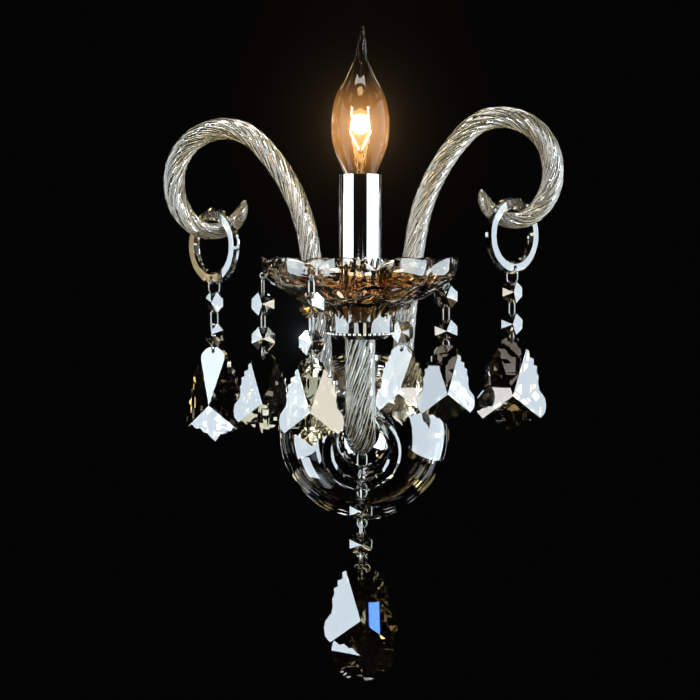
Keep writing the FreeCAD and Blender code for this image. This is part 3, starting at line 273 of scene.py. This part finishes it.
def twisted_scroll(name, side):
    """Twisted bar from its foot, up and over, round the hook and out to a fine tip."""
    straight = SCROLL_STRAIGHT + side * SCROLL_LIFT
    runs = ((0, straight),) + SCROLL_ARCS + HOOK_ARCS + (TAIL_ARC,)
    line = centre_line((SCROLL_SPREAD, SCROLL_FOOT), math.pi / 2, runs, SCROLL_STEP)
    hook_start = straight + arcs_length(SCROLL_ARCS)
    tail_start = hook_start + arcs_length(HOOK_ARCS)
    tail_length = arcs_length((TAIL_ARC,))

    def size(run):
        if run < straight:
            return SCROLL_FOOT_RADIUS + (SCROLL_RADIUS - SCROLL_FOOT_RADIUS) * run / straight
        if run < hook_start:
            return SCROLL_RADIUS
        if run < tail_start:
            share = (run - hook_start) / (tail_start - hook_start)
            return SCROLL_RADIUS + (HOOK_RADIUS - SCROLL_RADIUS) * share
        share = min(1.0, (run - tail_start) / tail_length)
        return HOOK_RADIUS + (TAIL_TIP - HOOK_RADIUS) * share ** TAIL_TAPER

    def depth(run):
        fade = min(1.0, run / SCROLL_RUN_IN)
        if run > tail_start:
            fade = max(0.0, 1.0 - (run - tail_start) / (tail_length * TAIL_FLUTED))
        return ROPE_DEPTH * fade

    def place(a, b, across):
        return (side * a, -COLUMN_OUT + across, b)

    rings, streaks = twisted_rings(line, place, size, ROPE_FLUTES, depth,
                                   math.radians(side * ROPE_SLOPE))
    piece = face_outwards(capped(name, rings, len(line)))
    keep_streaks(piece, streaks)
    return piece


def twisted_arm():
    """Hollow twisted tube of the lamp arm: level, round one bend and up."""
    level = LAMP_OUT - ARM_BEND - ARM_START
    upright = ARM_TOP - ARM_HEIGHT - ARM_BEND
    runs = ((0, level), (-ARM_BEND, 90.0), (0, upright))
    line = centre_line((ARM_START, ARM_HEIGHT), 0.0, runs, ARM_STEP)
    total = line[-1][3]

    def depth(run):
        return ARM_DEPTH * min(1.0, run / ARM_RUN_IN, (total - run) / ARM_RUN_OUT + 0.05)

    def place(a, b, across):
        return (across, -a, b)

    outer, streaks = twisted_rings(line, place, lambda run: ARM_RADIUS, ARM_FLUTES, depth,
                                   math.radians(ROPE_SLOPE))
    inner = twisted_rings(line, place, lambda run: ARM_BORE, 1, lambda run: 0.0, 0.0)[0]
    rows = len(line)
    faces = grid_faces(rows, ROPE_AROUND) + grid_faces(rows, ROPE_AROUND, len(outer), True)
    for base, flip in ((0, True), ((rows - 1) * ROPE_AROUND, False)):
        for j in range(ROPE_AROUND):
            k = (j + 1) % ROPE_AROUND
            a, b = base + j, base + k
            c, d = b + len(outer), a + len(outer)
            faces.append((a, d, c, b) if flip else (a, b, c, d))
    piece = face_outwards(mesh_piece("twisted_arm", outer + inner, faces))
    keep_streaks(piece, streaks)
    return piece


# ---- turned and scalloped glass round the lamp ----

def catmull_rom(p0, p1, p2, p3, t):
    """One coordinate of the curve, at the share t of the way from p1 to p2."""
    return 0.5 * (2 * p1 + (p2 - p0) * t + (2 * p0 - 5 * p1 + 4 * p2 - p3) * t * t
                  + (3 * p1 - p0 - 3 * p2 + p3) * t ** 3)


def smooth_profile(points, per_span):
    """Smooth curve through a profile's points."""
    ends = [points[0]] + list(points) + [points[-1]]
    curve = []
    for i in range(len(points) - 1):
        for step in range(per_span):
            t = step / per_span
            curve.append(tuple(catmull_rom(*four, t) for four in zip(*ends[i:i + 4])))
    curve.append(tuple(points[-1]))
    return curve


def revolved(name, profile, around, shape):
    """Closed ring of glass: shape(radius, height, angle) gives each point of the profile."""
    points = []
    for radius, height in profile:
        points += [shape(radius, height, 2 * math.pi * j / around) for j in range(around)]
    rows = len(profile)
    faces = grid_faces(rows, around)
    last = (rows - 1) * around
    for j in range(around):
        k = (j + 1) % around
        faces.append((last + j, last + k, k, j))
    return face_outwards(mesh_piece(name, points, faces))


def round_lamp(radius, height, angle):
    """Point round the lamp's axis; angle 0 faces the room and grows towards +X."""
    return (radius * math.sin(angle), -LAMP_OUT - radius * math.cos(angle), height)


def glass_cup():
    """Amber cup with a plain collar and a flared mouth cut with flutes."""

    def shape(radius, height, angle):
        share = max(0.0, min(1.0, (height - CUP_FLUTE_START) / CUP_FLUTE_RISE))
        cut = CUP_FLUTE_DEPTH * share * (1 - strand(angle * CUP_FLUTES, CUP_FLUTE_POWER))
        return round_lamp(radius - cut, CUP_BASE + height, angle)

    return revolved("fluted_cup", CUP_PROFILE, CUP_FLUTES * CUP_FLUTE_POINTS, shape)


def wall_radius(height):
    """Outside radius of the saucer's wall at a height over its underside."""
    for (r0, z0), (r1, z1) in zip(DISH_WALL, DISH_WALL[1:]):
        if height <= z1:
            return r0 + (r1 - r0) * max(0.0, height - z0) / (z1 - z0)
    return DISH_WALL[-1][0]


def petal_share(angle):
    """0 at a notch and 1 at the middle of a petal."""
    first = math.radians(PETAL_TURN - 180.0 / PETALS)
    share = (angle - first) / (2 * math.pi / PETALS) % 1.0
    return abs(math.sin(math.pi * share))


def petal_saucer():
    """Saucer with a wall of petals that bulge outwards and crease at the notches."""
    glass_depth = DISH_GLASS
    outer = smooth_profile(DISH_WALL, DISH_SPAN_POINTS)[:-1]
    inner = [(r - glass_depth * WALL_SHARE, z + glass_depth * (1.0 - RIM_SINK * z / DISH_DEPTH))
             for r, z in reversed(outer)]
    profile = ([(DISH_BORE, 0), (DISH_FLAT, 0)] + outer + list(DISH_RIM) + inner
               + [(DISH_FLAT, glass_depth), (DISH_BORE, glass_depth)])

    def shape(radius, height, angle):
        petal = petal_share(angle)
        rise = max(0.0, height - PETAL_START) / (DISH_DEPTH - PETAL_START)
        crest = DISH_DEPTH - PETAL_NOTCH * (1 - petal ** PETAL_ARCH)
        level = height if height < PETAL_START else PETAL_START + rise * (crest - PETAL_START)
        slide = wall_radius(level) - wall_radius(height)
        swell = PETAL_BULGE * petal ** PETAL_BULGE_POWER - PETAL_CREASE
        bulge = swell * min(1.0, rise * PETAL_BULGE_RISE)
        reach = max(0.0, min(1.0, (radius - PETAL_RIB_START) / PETAL_RIB_REACH))
        rib = PETAL_RIB * (1 - petal) ** 2.0 * (reach * max(0.0, 1 - rise) ** 0.5)
        return round_lamp(radius + slide + bulge, DISH_BASE + level + rib, angle)

    return revolved("petal_saucer", profile, PETALS * PETAL_POINTS, shape)


def flame_bulb():
    """Thin glass flame with a tip that leans, on a straight neck."""
    flame = [(w * BULB_RADIUS, h * BULB_HEIGHT) for w, h in FLAME]
    neck = [(BULB_NECK, BULB_FOOT - SLEEVE_TOP)] + list(BULB_SHOULDER)
    outer = smooth_profile(neck + flame + [BULB_TIP[0]], BULB_SPAN_POINTS) + list(BULB_TIP[1:])
    inner = [(max(r - BULB_WALL, BULB_HOLLOW_TIP), h) for r, h in outer if h < BULB_HOLLOW_TOP]

    def shape(radius, height, angle):
        bent = max(0.0, (height - TIP_BEND_START) / (BULB_HEIGHT - TIP_BEND_START))
        x, y, z = round_lamp(radius, SLEEVE_TOP + height, angle)
        return (x + TIP_BEND * bent ** 2, y, z)

    around = BULB_AROUND
    points = []
    for radius, height in outer + inner:
        points += [shape(radius, height, 2 * math.pi * j / around) for j in range(around)]
    split = len(outer) * around
    faces = grid_faces(len(outer), around) + grid_faces(len(inner), around, split, True)
    outer_last, inner_last = split - around, len(points) - around
    tips = (len(points), len(points) + 1)
    points += [shape(0.0, outer[-1][1] + 0.2, 0.0), shape(0.0, inner[-1][1] + 0.3, 0.0)]
    for j in range(around):
        k = (j + 1) % around
        faces.append((j, k, split + k, split + j))
        faces.append((outer_last + j, outer_last + k, tips[0]))
        faces.append((inner_last + j, inner_last + k, tips[1]))
    return face_outwards(mesh_piece("flame_bulb", points, faces))


def clean_shade(piece):
    """Smooth shading with crisp edges."""
    piece.data.set_sharp_from_angle(angle=math.radians(SHARP_EDGE))


# ---- materials: lengths in metres ----
NOISE_SPREAD = (0.3, 0.7)     # nearly all of the noise lies between these
TINT_SPREAD = (0.35, 0.65)    # the drift from one tint to the other
COAT_IOR = 2.5                # strong reflections on cut glass
COAT_POLISH = 0.01
WAVE_DEPTH = 0.0006
GRAIN_DEPTH = 0.0002
METAL_SCALE = 120.0
CRYSTAL_CELLS = 130.0
CELL_DEPTH = 0.0012
ROPE_MILK = 0.3               # share of light that passes the rope's silvery lines
ROPE_COAT_IOR = 2.2
ROPE_STRETCH = (3.0, 3.0, 0.3)          # the unevenness is drawn out along the twist
ROPE_LINES = 30.0
ROPE_LINE_EDGE = 0.25         # a line shows where its wave is over this
ROPE_LINE_DRIFT = 5.0         # radians that a line wanders
ROPE_LINE_DEPTH = 0.0011
# middle of the painted glow on the bulb's glass
FILAMENT_MIDDLE = (0.0, -LAMP_OUT * MM, 0.198)


def new_material(name):
    material = bpy.data.materials.new(name)
    material.use_nodes = True
    tree = material.node_tree
    return material, tree, tree.nodes["Principled BSDF"]


def add_noise(tree, scale, detail=3.0):
    """Noise over the piece's own coordinates."""
    where = tree.nodes.new("ShaderNodeTexCoord")
    noise = tree.nodes.new("ShaderNodeTexNoise")
    noise.inputs["Scale"].default_value = scale
    noise.inputs["Detail"].default_value = detail
    tree.links.new(where.outputs["Object"], noise.inputs["Vector"])
    return noise.outputs["Fac"]


def vary(tree, fac, low, high, spread_from=NOISE_SPREAD):
    """The noise spread between two values."""
    spread = tree.nodes.new("ShaderNodeMapRange")
    spread.inputs["From Min"].default_value = spread_from[0]
    spread.inputs["From Max"].default_value = spread_from[1]
    spread.inputs["To Min"].default_value = low
    spread.inputs["To Max"].default_value = high
    tree.links.new(fac, spread.inputs["Value"])
    return spread.outputs["Result"]


def add_bump(tree, shader, fac, strength, distance):
    bump = tree.nodes.new("ShaderNodeBump")
    bump.inputs["Strength"].default_value = strength
    bump.inputs["Distance"].default_value = distance
    tree.links.new(fac, bump.inputs["Height"])
    tree.links.new(bump.outputs["Normal"], shader.inputs["Normal"])


def tint(tree, shader, fac, dark, light):
    """Base colour that drifts between two tints."""
    ramp = tree.nodes.new("ShaderNodeValToRGB")
    for element, position, colour in zip(ramp.color_ramp.elements, TINT_SPREAD, (dark, light)):
        element.position = position
        element.color = (*colour, 1)
    tree.links.new(fac, ramp.inputs["Fac"])
    tree.links.new(ramp.outputs["Color"], shader.inputs["Base Color"])


def glass(name, dark, light, rough=(0.0, 0.03), ior=1.5, wave=0.05, wave_scale=60.0, coat=0.0):
    """Clear or tinted glass with faint waves, a drifting tint and uneven polish."""
    material, tree, shader = new_material(name)
    shader.inputs["Transmission Weight"].default_value = 1.0
    shader.inputs["IOR"].default_value = ior
    slow = add_noise(tree, wave_scale)
    fine = add_noise(tree, wave_scale * 9, 5.0)
    tint(tree, shader, slow, dark, light)
    tree.links.new(vary(tree, fine, *rough), shader.inputs["Roughness"])
    if coat:
        shader.inputs["Coat Weight"].default_value = coat
        shader.inputs["Coat IOR"].default_value = COAT_IOR
        shader.inputs["Coat Roughness"].default_value = COAT_POLISH
    add_bump(tree, shader, slow, wave, WAVE_DEPTH)
    return material


def tint_by_height(material, low, high, bottom, top):
    """Multiplies a material's tint by a colour that changes between two heights."""
    tree = material.node_tree
    shader = tree.nodes["Principled BSDF"]
    drift = shader.inputs["Base Color"].links[0].from_socket
    where = tree.nodes.new("ShaderNodeTexCoord")
    split = tree.nodes.new("ShaderNodeSeparateXYZ")
    share = tree.nodes.new("ShaderNodeMapRange")
    share.interpolation_type = "SMOOTHSTEP"
    share.inputs["From Min"].default_value = bottom
    share.inputs["From Max"].default_value = top
    fade = tree.nodes.new("ShaderNodeMix")
    fade.data_type = "RGBA"
    fade.inputs["A"].default_value = (*low, 1)
    fade.inputs["B"].default_value = (*high, 1)
    blend = tree.nodes.new("ShaderNodeMix")
    blend.data_type = "RGBA"
    blend.blend_type = "MULTIPLY"
    blend.inputs["Factor"].default_value = 1.0
    tree.links.new(where.outputs["Object"], split.inputs["Vector"])
    tree.links.new(split.outputs["Z"], share.inputs["Value"])
    tree.links.new(share.outputs["Result"], fade.inputs["Factor"])
    tree.links.new(fade.outputs["Result"], blend.inputs["A"])
    tree.links.new(drift, blend.inputs["B"])
    tree.links.new(blend.outputs["Result"], shader.inputs["Base Color"])
    return material


def cut_back(name, dark, light):
    """Crystal whose back is cut into many small facets."""
    material = glass(name, dark, light, (0.0, 0.02), 1.62, 0.0, 90.0)
    tree = material.node_tree
    shader = tree.nodes["Principled BSDF"]
    where = tree.nodes.new("ShaderNodeTexCoord")
    cuts = tree.nodes.new("ShaderNodeTexVoronoi")
    cuts.inputs["Scale"].default_value = CRYSTAL_CELLS
    cuts.distance = "CHEBYCHEV"
    tree.links.new(where.outputs["Object"], cuts.inputs["Vector"])
    add_bump(tree, shader, cuts.outputs["Distance"], 0.5, CELL_DEPTH)
    return material


def rope(name, dark, light):
    """Twisted glass: fine silvery lines that follow the twist, with clear glass between."""
    material, tree, shader = new_material(name)
    shader.inputs["IOR"].default_value = 1.5
    where = tree.nodes.new("ShaderNodeAttribute")
    where.attribute_name = "streak"
    mapping = tree.nodes.new("ShaderNodeMapping")
    mapping.inputs["Scale"].default_value = ROPE_STRETCH
    noise = tree.nodes.new("ShaderNodeTexNoise")
    noise.inputs["Scale"].default_value = 1.6
    noise.inputs["Detail"].default_value = 5.0
    noise.inputs["Roughness"].default_value = 0.65
    tree.links.new(where.outputs["Vector"], mapping.inputs["Vector"])
    tree.links.new(mapping.outputs["Vector"], noise.inputs["Vector"])
    split = tree.nodes.new("ShaderNodeSeparateXYZ")
    tree.links.new(where.outputs["Vector"], split.inputs["Vector"])
    angle = tree.nodes.new("ShaderNodeMath")
    angle.operation = "ARCTAN2"
    tree.links.new(split.outputs["Y"], angle.inputs[0])
    tree.links.new(split.outputs["X"], angle.inputs[1])
    lanes = tree.nodes.new("ShaderNodeMath")
    lanes.operation = "MULTIPLY_ADD"
    lanes.inputs[1].default_value = ROPE_LINES
    tree.links.new(angle.outputs["Value"], lanes.inputs[0])
    tree.links.new(vary(tree, noise.outputs["Fac"], 0.0, ROPE_LINE_DRIFT), lanes.inputs[2])
    crest = tree.nodes.new("ShaderNodeMath")
    crest.operation = "SINE"
    tree.links.new(lanes.outputs["Value"], crest.inputs[0])
    line = tree.nodes.new("ShaderNodeMapRange")
    line.interpolation_type = "SMOOTHSTEP"
    line.inputs["From Min"].default_value = ROPE_LINE_EDGE
    line.inputs["From Max"].default_value = 1.0
    tree.links.new(crest.outputs["Value"], line.inputs["Value"])
    broken = tree.nodes.new("ShaderNodeMath")
    broken.operation = "MULTIPLY"
    tree.links.new(line.outputs["Result"], broken.inputs[0])
    tree.links.new(vary(tree, noise.outputs["Fac"], 0.35, 1.0), broken.inputs[1])
    fac = broken.outputs["Value"]
    tint(tree, shader, fac, dark, light)
    milk = vary(tree, fac, 1.0, ROPE_MILK, (0.0, 1.0))
    tree.links.new(milk, shader.inputs["Transmission Weight"])
    tree.links.new(vary(tree, noise.outputs["Fac"], 0.02, 0.10), shader.inputs["Roughness"])
    shader.inputs["Coat Weight"].default_value = 0.8
    shader.inputs["Coat IOR"].default_value = ROPE_COAT_IOR
    shader.inputs["Coat Roughness"].default_value = 0.04
    add_bump(tree, shader, fac, 1.0, ROPE_LINE_DEPTH)
    return material


def surfaced(name, dark, light, rough, scale, fine_scale, detail, bump):
    """Opaque material with a drifting tint, uneven polish and a fine surface."""
    material, tree, shader = new_material(name)
    slow = add_noise(tree, scale, detail)
    fine = add_noise(tree, fine_scale, 6.0)
    tint(tree, shader, slow, dark, light)
    tree.links.new(vary(tree, fine, *rough), shader.inputs["Roughness"])
    add_bump(tree, shader, fine, bump, GRAIN_DEPTH)
    return material, shader


def metal(name, dark, light, rough, grain=0.02):
    """Plated or polished metal with faint grain."""
    material, shader = surfaced(name, dark, light, rough, METAL_SCALE, METAL_SCALE * 8, 4.0, grain)
    shader.inputs["Metallic"].default_value = 1.0
    return material


def plain(name, dark, light, rough, scale=200.0):
    """Rubber, plastic or the floor's finish."""
    return surfaced(name, dark, light, rough, scale, scale * 6, 3.0, 0.08)[0]


def painted_glow_glass(name, dark, light, colour, strength, reach):
    """Thin glass with a painted warm glow: emission on the glass that fades with the distance from
    the filament.
    """
    material = glass(name, dark, light, (0.0, 0.015), 1.3, 0.01)
    tree = material.node_tree
    shader = tree.nodes["Principled BSDF"]
    where = tree.nodes.new("ShaderNodeTexCoord")
    away = tree.nodes.new("ShaderNodeVectorMath")
    away.operation = "DISTANCE"
    away.inputs[1].default_value = FILAMENT_MIDDLE
    fade = tree.nodes.new("ShaderNodeMapRange")
    fade.interpolation_type = "SMOOTHERSTEP"
    fade.inputs["From Min"].default_value = 0.008
    fade.inputs["From Max"].default_value = reach
    fade.inputs["To Min"].default_value = strength
    fade.inputs["To Max"].default_value = 0.0
    tree.links.new(where.outputs["Object"], away.inputs[0])
    tree.links.new(away.outputs["Value"], fade.inputs["Value"])
    tree.links.new(fade.outputs["Result"], shader.inputs["Emission Strength"])
    shader.inputs["Emission Color"].default_value = (*colour, 1)
    return material


def glowing(name, colour, strength):
    """Hot wire: its glow is a little uneven along its length."""
    material, tree, shader = new_material(name)
    shader.inputs["Base Color"].default_value = (*colour, 1)
    shader.inputs["Emission Color"].default_value = (*colour, 1)
    fac = add_noise(tree, 400.0)
    tree.links.new(vary(tree, fac, strength * 0.8, strength * 1.2),
                   shader.inputs["Emission Strength"])
    return material


# tints are in pairs, then come the least and the greatest roughness
MATERIALS = {
    "zinc_steel": metal("zinc_steel", (0.5, 0.5, 0.5), (0.62, 0.62, 0.62), (0.28, 0.42), 0.1),
    "chrome": metal("chrome", (0.8, 0.8, 0.8), (0.86, 0.86, 0.86), (0.03, 0.07)),
    "shaded_chrome": metal("shaded_chrome", (0.2, 0.19, 0.17), (0.3, 0.28, 0.25), (0.05, 0.12)),
    "silvered": metal("silvered", (0.82, 0.78, 0.7), (0.9, 0.87, 0.8), (0.08, 0.16)),
    "washer_rubber": plain("washer_rubber", (0.03, 0.03, 0.03), (0.05, 0.05, 0.05), (0.6, 0.8)),
    "clear_glass": glass("clear_glass", (0.9, 0.87, 0.8), (0.97, 0.95, 0.9), wave_scale=40.0),
    "dish_glass": glass("dish_glass", (0.9, 0.87, 0.8), (0.97, 0.95, 0.9), wave_scale=40.0,
                        coat=1.0),
    "rope_glass": rope("rope_glass", (0.42, 0.34, 0.16), (1.0, 0.94, 0.77)),
    "amber_glass": tint_by_height(
        glass("amber_glass", (0.8, 0.72, 0.6), (1.0, 0.98, 0.95), coat=0.6),
        (0.88, 0.55, 0.2), (0.97, 0.86, 0.7), 0.1, 0.116),
    "ring_glass": glass("ring_glass", (0.9, 0.9, 0.88), (0.98, 0.98, 0.96), ior=1.52, coat=0.9),
    "crystal": glass("crystal", (0.9, 0.8, 0.6), (0.98, 0.92, 0.78), ior=1.6, wave=0.02, coat=1.0),
    "crystal_back": cut_back("crystal_back", (0.5, 0.36, 0.14), (0.98, 0.86, 0.56)),
    "cup_amber": tint_by_height(
        glass("cup_amber", (0.85, 0.8, 0.7), (1.0, 0.98, 0.95), coat=0.8),
        (0.95, 0.88, 0.78), (0.85, 0.55, 0.2), 0.084, 0.09),
    "wire": metal("wire", (0.4, 0.39, 0.37), (0.52, 0.51, 0.48), (0.16, 0.28)),
    "holder_plastic": plain("holder_plastic", (0.55, 0.53, 0.48), (0.65, 0.62, 0.56), (0.35, 0.5)),
    "brass": metal("brass", (0.72, 0.52, 0.22), (0.82, 0.62, 0.3), (0.18, 0.3)),
    "bulb_cap_metal": metal("bulb_cap_metal", (0.7, 0.7, 0.68), (0.8, 0.8, 0.78), (0.2, 0.32)),
    # the bulb's glass carries a painted glow near the filament, emission that stands in for light
    "bulb_glass": painted_glow_glass("bulb_glass", (0.97, 0.9, 0.8), (1.0, 0.96, 0.9), (1.0, 0.42, 0.1),
                            0.16, 0.034),
    "stem_glass": glass("stem_glass", (0.95, 0.72, 0.4), (0.98, 0.8, 0.5), (0.03, 0.1)),
    "filament": glowing("filament", (1.0, 0.62, 0.26), 160.0),
    "wire_insulation": plain("wire_insulation", (0.7, 0.68, 0.6), (0.8, 0.78, 0.7), (0.3, 0.45)),
}
BACK_FACING = 0.02            # least Y of the normal of a face on a pendant's back


def paint(piece, slot):
    piece.data.materials.clear()
    piece.data.materials.append(MATERIALS[slot])


def paint_back(node):
    """The half of a pendant turned from its front gets the many-faceted cut."""
    node.data.materials.append(MATERIALS["crystal_back"])
    for polygon in node.data.polygons:
        if polygon.normal.y > BACK_FACING:
            polygon.material_index = 1


# ---- the part's own pieces ----
for row in frame["record"]["subparts"]:
    node = nodes[row["node"]]
    paint(node, row["material_slot"])
    if row["node"].endswith("_pendant"):
        paint_back(node)
nodes["bulb_glass"].visible_shadow = False
paint(nodes["canopy"], "shaded_chrome")
paint(nodes["wall_dish"], "dish_glass")

# ---- glass made here ----
# node of the part, the piece in its place, body, slot and finish
NEW_GLASS = (
    ("left_scroll", twisted_scroll("left_twisted_scroll", -1), "sconce", "clear_glass",
     "rope_glass"),
    ("right_scroll", twisted_scroll("right_twisted_scroll", 1), "sconce", "clear_glass",
     "rope_glass"),
    ("lamp_arm", twisted_arm(), "sconce", "clear_glass", "rope_glass"),
    ("glass_cup", glass_cup(), "sconce", "amber_glass", "cup_amber"),
    ("bobeche", petal_saucer(), "sconce", "amber_glass", "amber_glass"),
    ("bulb_glass", flame_bulb(), "bulb", "bulb_glass", "bulb_glass"),
)
for node, piece, body, slot, finish in NEW_GLASS:
    paint(piece, finish)
    clean_shade(piece)
    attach(piece, body)
    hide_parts(node)
    if body == "bulb":
        piece.visible_shadow = False


# ---- floor, surround and lights, in metres ----
FLOOR_RADIUS = 1.5
FLOOR_HEIGHT = -0.8
FLOOR_CORNERS = 96


def floor_disc():
    """Round floor well under the sconce."""
    points = []
    for i in range(FLOOR_CORNERS):
        a = 2 * math.pi * i / FLOOR_CORNERS
        points.append((FLOOR_RADIUS * math.cos(a) / MM, FLOOR_RADIUS * math.sin(a) / MM,
                       FLOOR_HEIGHT / MM))
    return mesh_piece("floor", points, [tuple(range(FLOOR_CORNERS))], False)


floor = floor_disc()
floor.data.materials.append(plain("floor_finish", (0.72, 0.7, 0.67), (0.78, 0.76, 0.73),
                                  (0.5, 0.7), 6.0))
floor.visible_glossy = False
floor.visible_transmission = False

world = bpy.data.worlds.new("surround")
bpy.context.scene.world = world
world.use_nodes = True
background = world.node_tree.nodes["Background"]
background.inputs["Color"].default_value = (0.0014, 0.0013, 0.0013, 1)
background.inputs["Strength"].default_value = 1.0

MIDDLE = (0.0, -0.06, 0.05)   # the soft lights face this point
COOL = (0.78, 0.90, 1.0)
WHITE = (1.0, 0.98, 0.95)
WARM = (1.0, 0.80, 0.42)
LILAC = (0.78, 0.80, 1.0)
CREAM = (1.0, 0.93, 0.78)
BLUE = (0.12, 0.3, 1.0)
# Boxes that the glass and the chrome mirror: name, place, the point they face, width and height,
# radiance, colour. Nothing is lit through glass by them, so that the bulb stays clear from behind.
BOXES = (
    ("left_box", (-0.75, -0.625, 0.1), (0.0, -0.625, 0.1), (0.95, 0.9), 3.4, COOL),
    ("left_ring_box", (-0.75, -0.07, 0.16), (0.0, -0.07, 0.16), (0.16, 0.16), 3.4, COOL),
    ("left_near_box", (-0.75, -1.3, -0.4), (0.0, -1.3, -0.4), (0.4, 0.4), 3.4, COOL),
    ("left_low_box", (-0.8, -0.44, -0.56), (-0.098, -0.04, 0.03), (0.35, 0.35), 3.4, COOL),
    ("right_box", (0.75, -0.4, 0.1), (0.0, -0.4, 0.1), (1.35, 0.9), 3.4, COOL),
    ("right_near_box", (0.27, -1.06, 0.055), (-0.058, -0.11, 0.055), (0.18, 0.12), 3.2, CREAM),
    ("front_box", (-0.14, -1.07, 0.06), (0.052, -0.092, 0.06), (0.16, 0.11), 3.0, COOL),
    ("front_spot", (-0.244, -0.98, 0.03), (0.098, -0.04, 0.05), (0.08, 0.1), 3.0, WHITE),
    ("blue_spot", (0.53, -0.94, -0.24), (0.0, -0.095, -0.1), (0.014, 0.05), 6.0, BLUE),
)
# Boxes that light the object from above: name, place, width and height, power, colour.
KEY_BOXES = (
    ("left_front_box", (-0.6, -1.0, 0.55), (0.22, 0.3), 7.0, COOL),
    ("right_front_box", (0.6, -1.0, 0.55), (0.22, 0.3), 7.0, COOL),
    ("top_box", (0.0, -0.3, 1.1), (0.7, 0.4), 8.0, WHITE),
)
# Cards are small soft lights all round, for the sparkle. Angles are in degrees; azimuth 0 is the
# camera's side.
REAR_CARDS = (-52, -30, -10, 12, 34, 56)
REAR_AZIMUTHS = range(100, 261, 20)
REAR_REACH = 1.3
REAR_SIZE = (0.05, 0.14)
REAR_COLOURS = (COOL, WHITE, WARM, WARM, WARM, LILAC)
REAR_RADIANCE = (0.5, 1.2, 2.5, 5.0)
RING_CARDS = ((-42, 9), (-18, 10), (8, 11), (34, 9), (62, 5))       # elevation and number
RING_REACH = 1.25
RING_WIDTH = (0.12, 0.3)
RING_HEIGHT = (0.12, 0.34)
RING_COLOURS = (COOL, WHITE, WARM, WARM, LILAC)
RING_RADIANCE = (0.35, 0.8, 1.3, 2.0)
LOW_DIM = 0.25                # radiance of the ring's cards under the horizon
FRONT_DARK = 32.0             # no cards this near to straight in front, but for high and low ones
FRONT_LEVEL = 45.0
BACK_SMALL = 28.0             # small cards this near to straight behind
BACK_LEVELS = (-40, 25)       # of the rear cards, only those between these elevations
SMALL = 0.45


def soft_box(name, place, target, size, power, colour):
    """Rectangular soft light turned towards a point; the camera doesn't see it."""
    data = bpy.data.lights.new(name, "AREA")
    data.shape = "RECTANGLE"
    data.size, data.size_y = size
    data.energy = power
    data.color = colour
    lamp = bpy.data.objects.new(name, data)
    bpy.context.scene.collection.objects.link(lamp)
    lamp.location = place
    lamp.rotation_euler = (Vector(target) - Vector(place)).to_track_quat("-Z", "Y").to_euler()
    lamp.visible_camera = False
    return lamp


def bright_box(name, place, target, size, radiance, colour):
    """Soft box whose surface has a set brightness, whatever its size."""
    return soft_box(name, place, target, size, radiance * math.pi * size[0] * size[1], colour)


def card(index, azimuth, elevation, reach, size, radiance, colour):
    """Soft light on a sphere round the middle."""
    a = math.radians(azimuth)
    e = math.radians(elevation)
    place = (MIDDLE[0] + reach * math.sin(a) * math.cos(e),
             MIDDLE[1] - reach * math.cos(a) * math.cos(e),
             MIDDLE[2] + reach * math.sin(e))
    return bright_box(f"card_{index}", place, MIDDLE, size, radiance, colour)


def smaller(size):
    return (size[0] * SMALL, size[1] * SMALL)


for name, place, target, size, radiance, colour in BOXES:
    box = bright_box(name, place, target, size, radiance, colour)
    box.visible_transmission = False
for name, place, size, power, colour in KEY_BOXES:
    soft_box(name, place, MIDDLE, size, power, colour)

draw = random.Random(11)
index = 0
for elevation in REAR_CARDS:
    for azimuth in REAR_AZIMUTHS:
        colour = draw.choice(REAR_COLOURS)
        radiance = draw.choice(REAR_RADIANCE)
        size = (draw.uniform(*REAR_SIZE), draw.uniform(*REAR_SIZE))
        around, lift = draw.uniform(-7, 7), draw.uniform(-7, 7)
        if abs(azimuth - 180) < BACK_SMALL and BACK_LEVELS[0] < elevation < BACK_LEVELS[1]:
            size = smaller(size)
        card(index, azimuth + around, elevation + lift, REAR_REACH, size, radiance, colour)
        index += 1
for elevation, count in RING_CARDS:
    for k in range(count):
        azimuth = 360.0 * (k + draw.uniform(-0.3, 0.3)) / count
        colour = draw.choice(RING_COLOURS)
        radiance = draw.choice(RING_RADIANCE) * (LOW_DIM if elevation < 0 else 1.0)
        size = (draw.uniform(*RING_WIDTH), draw.uniform(*RING_HEIGHT))
        off_front = min(azimuth % 360.0, -azimuth % 360.0)
        if off_front > 180.0 - BACK_SMALL:
            size = smaller(size)
        if off_front > FRONT_DARK or abs(elevation) > FRONT_LEVEL:
            card(index, azimuth, elevation + draw.uniform(-6, 6), RING_REACH, size, radiance,
                 colour)
        index += 1

glow = bpy.data.lights.new("lamp_glow", "POINT")
glow.energy = 1.4
glow.color = (1.0, 0.68, 0.36)
glow.shadow_soft_size = 0.006
glow_lamp = bpy.data.objects.new("lamp_glow", glow)
bpy.context.scene.collection.objects.link(glow_lamp)
glow_lamp.location = (0.0, -LAMP_OUT * MM, 0.201)

# ---- camera, colours and the bloom round bright spots ----
camera_data = bpy.data.cameras.new("camera")
camera_data.lens = 67.2
camera_data.sensor_width = 36.0
camera = bpy.data.objects.new("camera", camera_data)
bpy.context.scene.collection.objects.link(camera)
camera.location = (0.0157, -0.9, 0.122)
camera.rotation_euler = (math.radians(90 - 4.03), 0.0, math.radians(1.6))

scene = bpy.context.scene
scene.camera = camera
scene.view_settings.view_transform = "Standard"
scene.use_nodes = True
tree = scene.node_tree
tree.nodes.clear()
layers = tree.nodes.new("CompositorNodeRLayers")
bloom = tree.nodes.new("CompositorNodeGlare")
bloom.glare_type = "BLOOM"
bloom.quality = "HIGH"
bloom.inputs["Threshold"].default_value = 4.0
bloom.inputs["Strength"].default_value = 0.25
bloom.inputs["Size"].default_value = 0.35
picture = tree.nodes.new("CompositorNodeComposite")
tree.links.new(layers.outputs["Image"], bloom.inputs["Image"])
tree.links.new(bloom.outputs["Image"], picture.inputs["Image"])
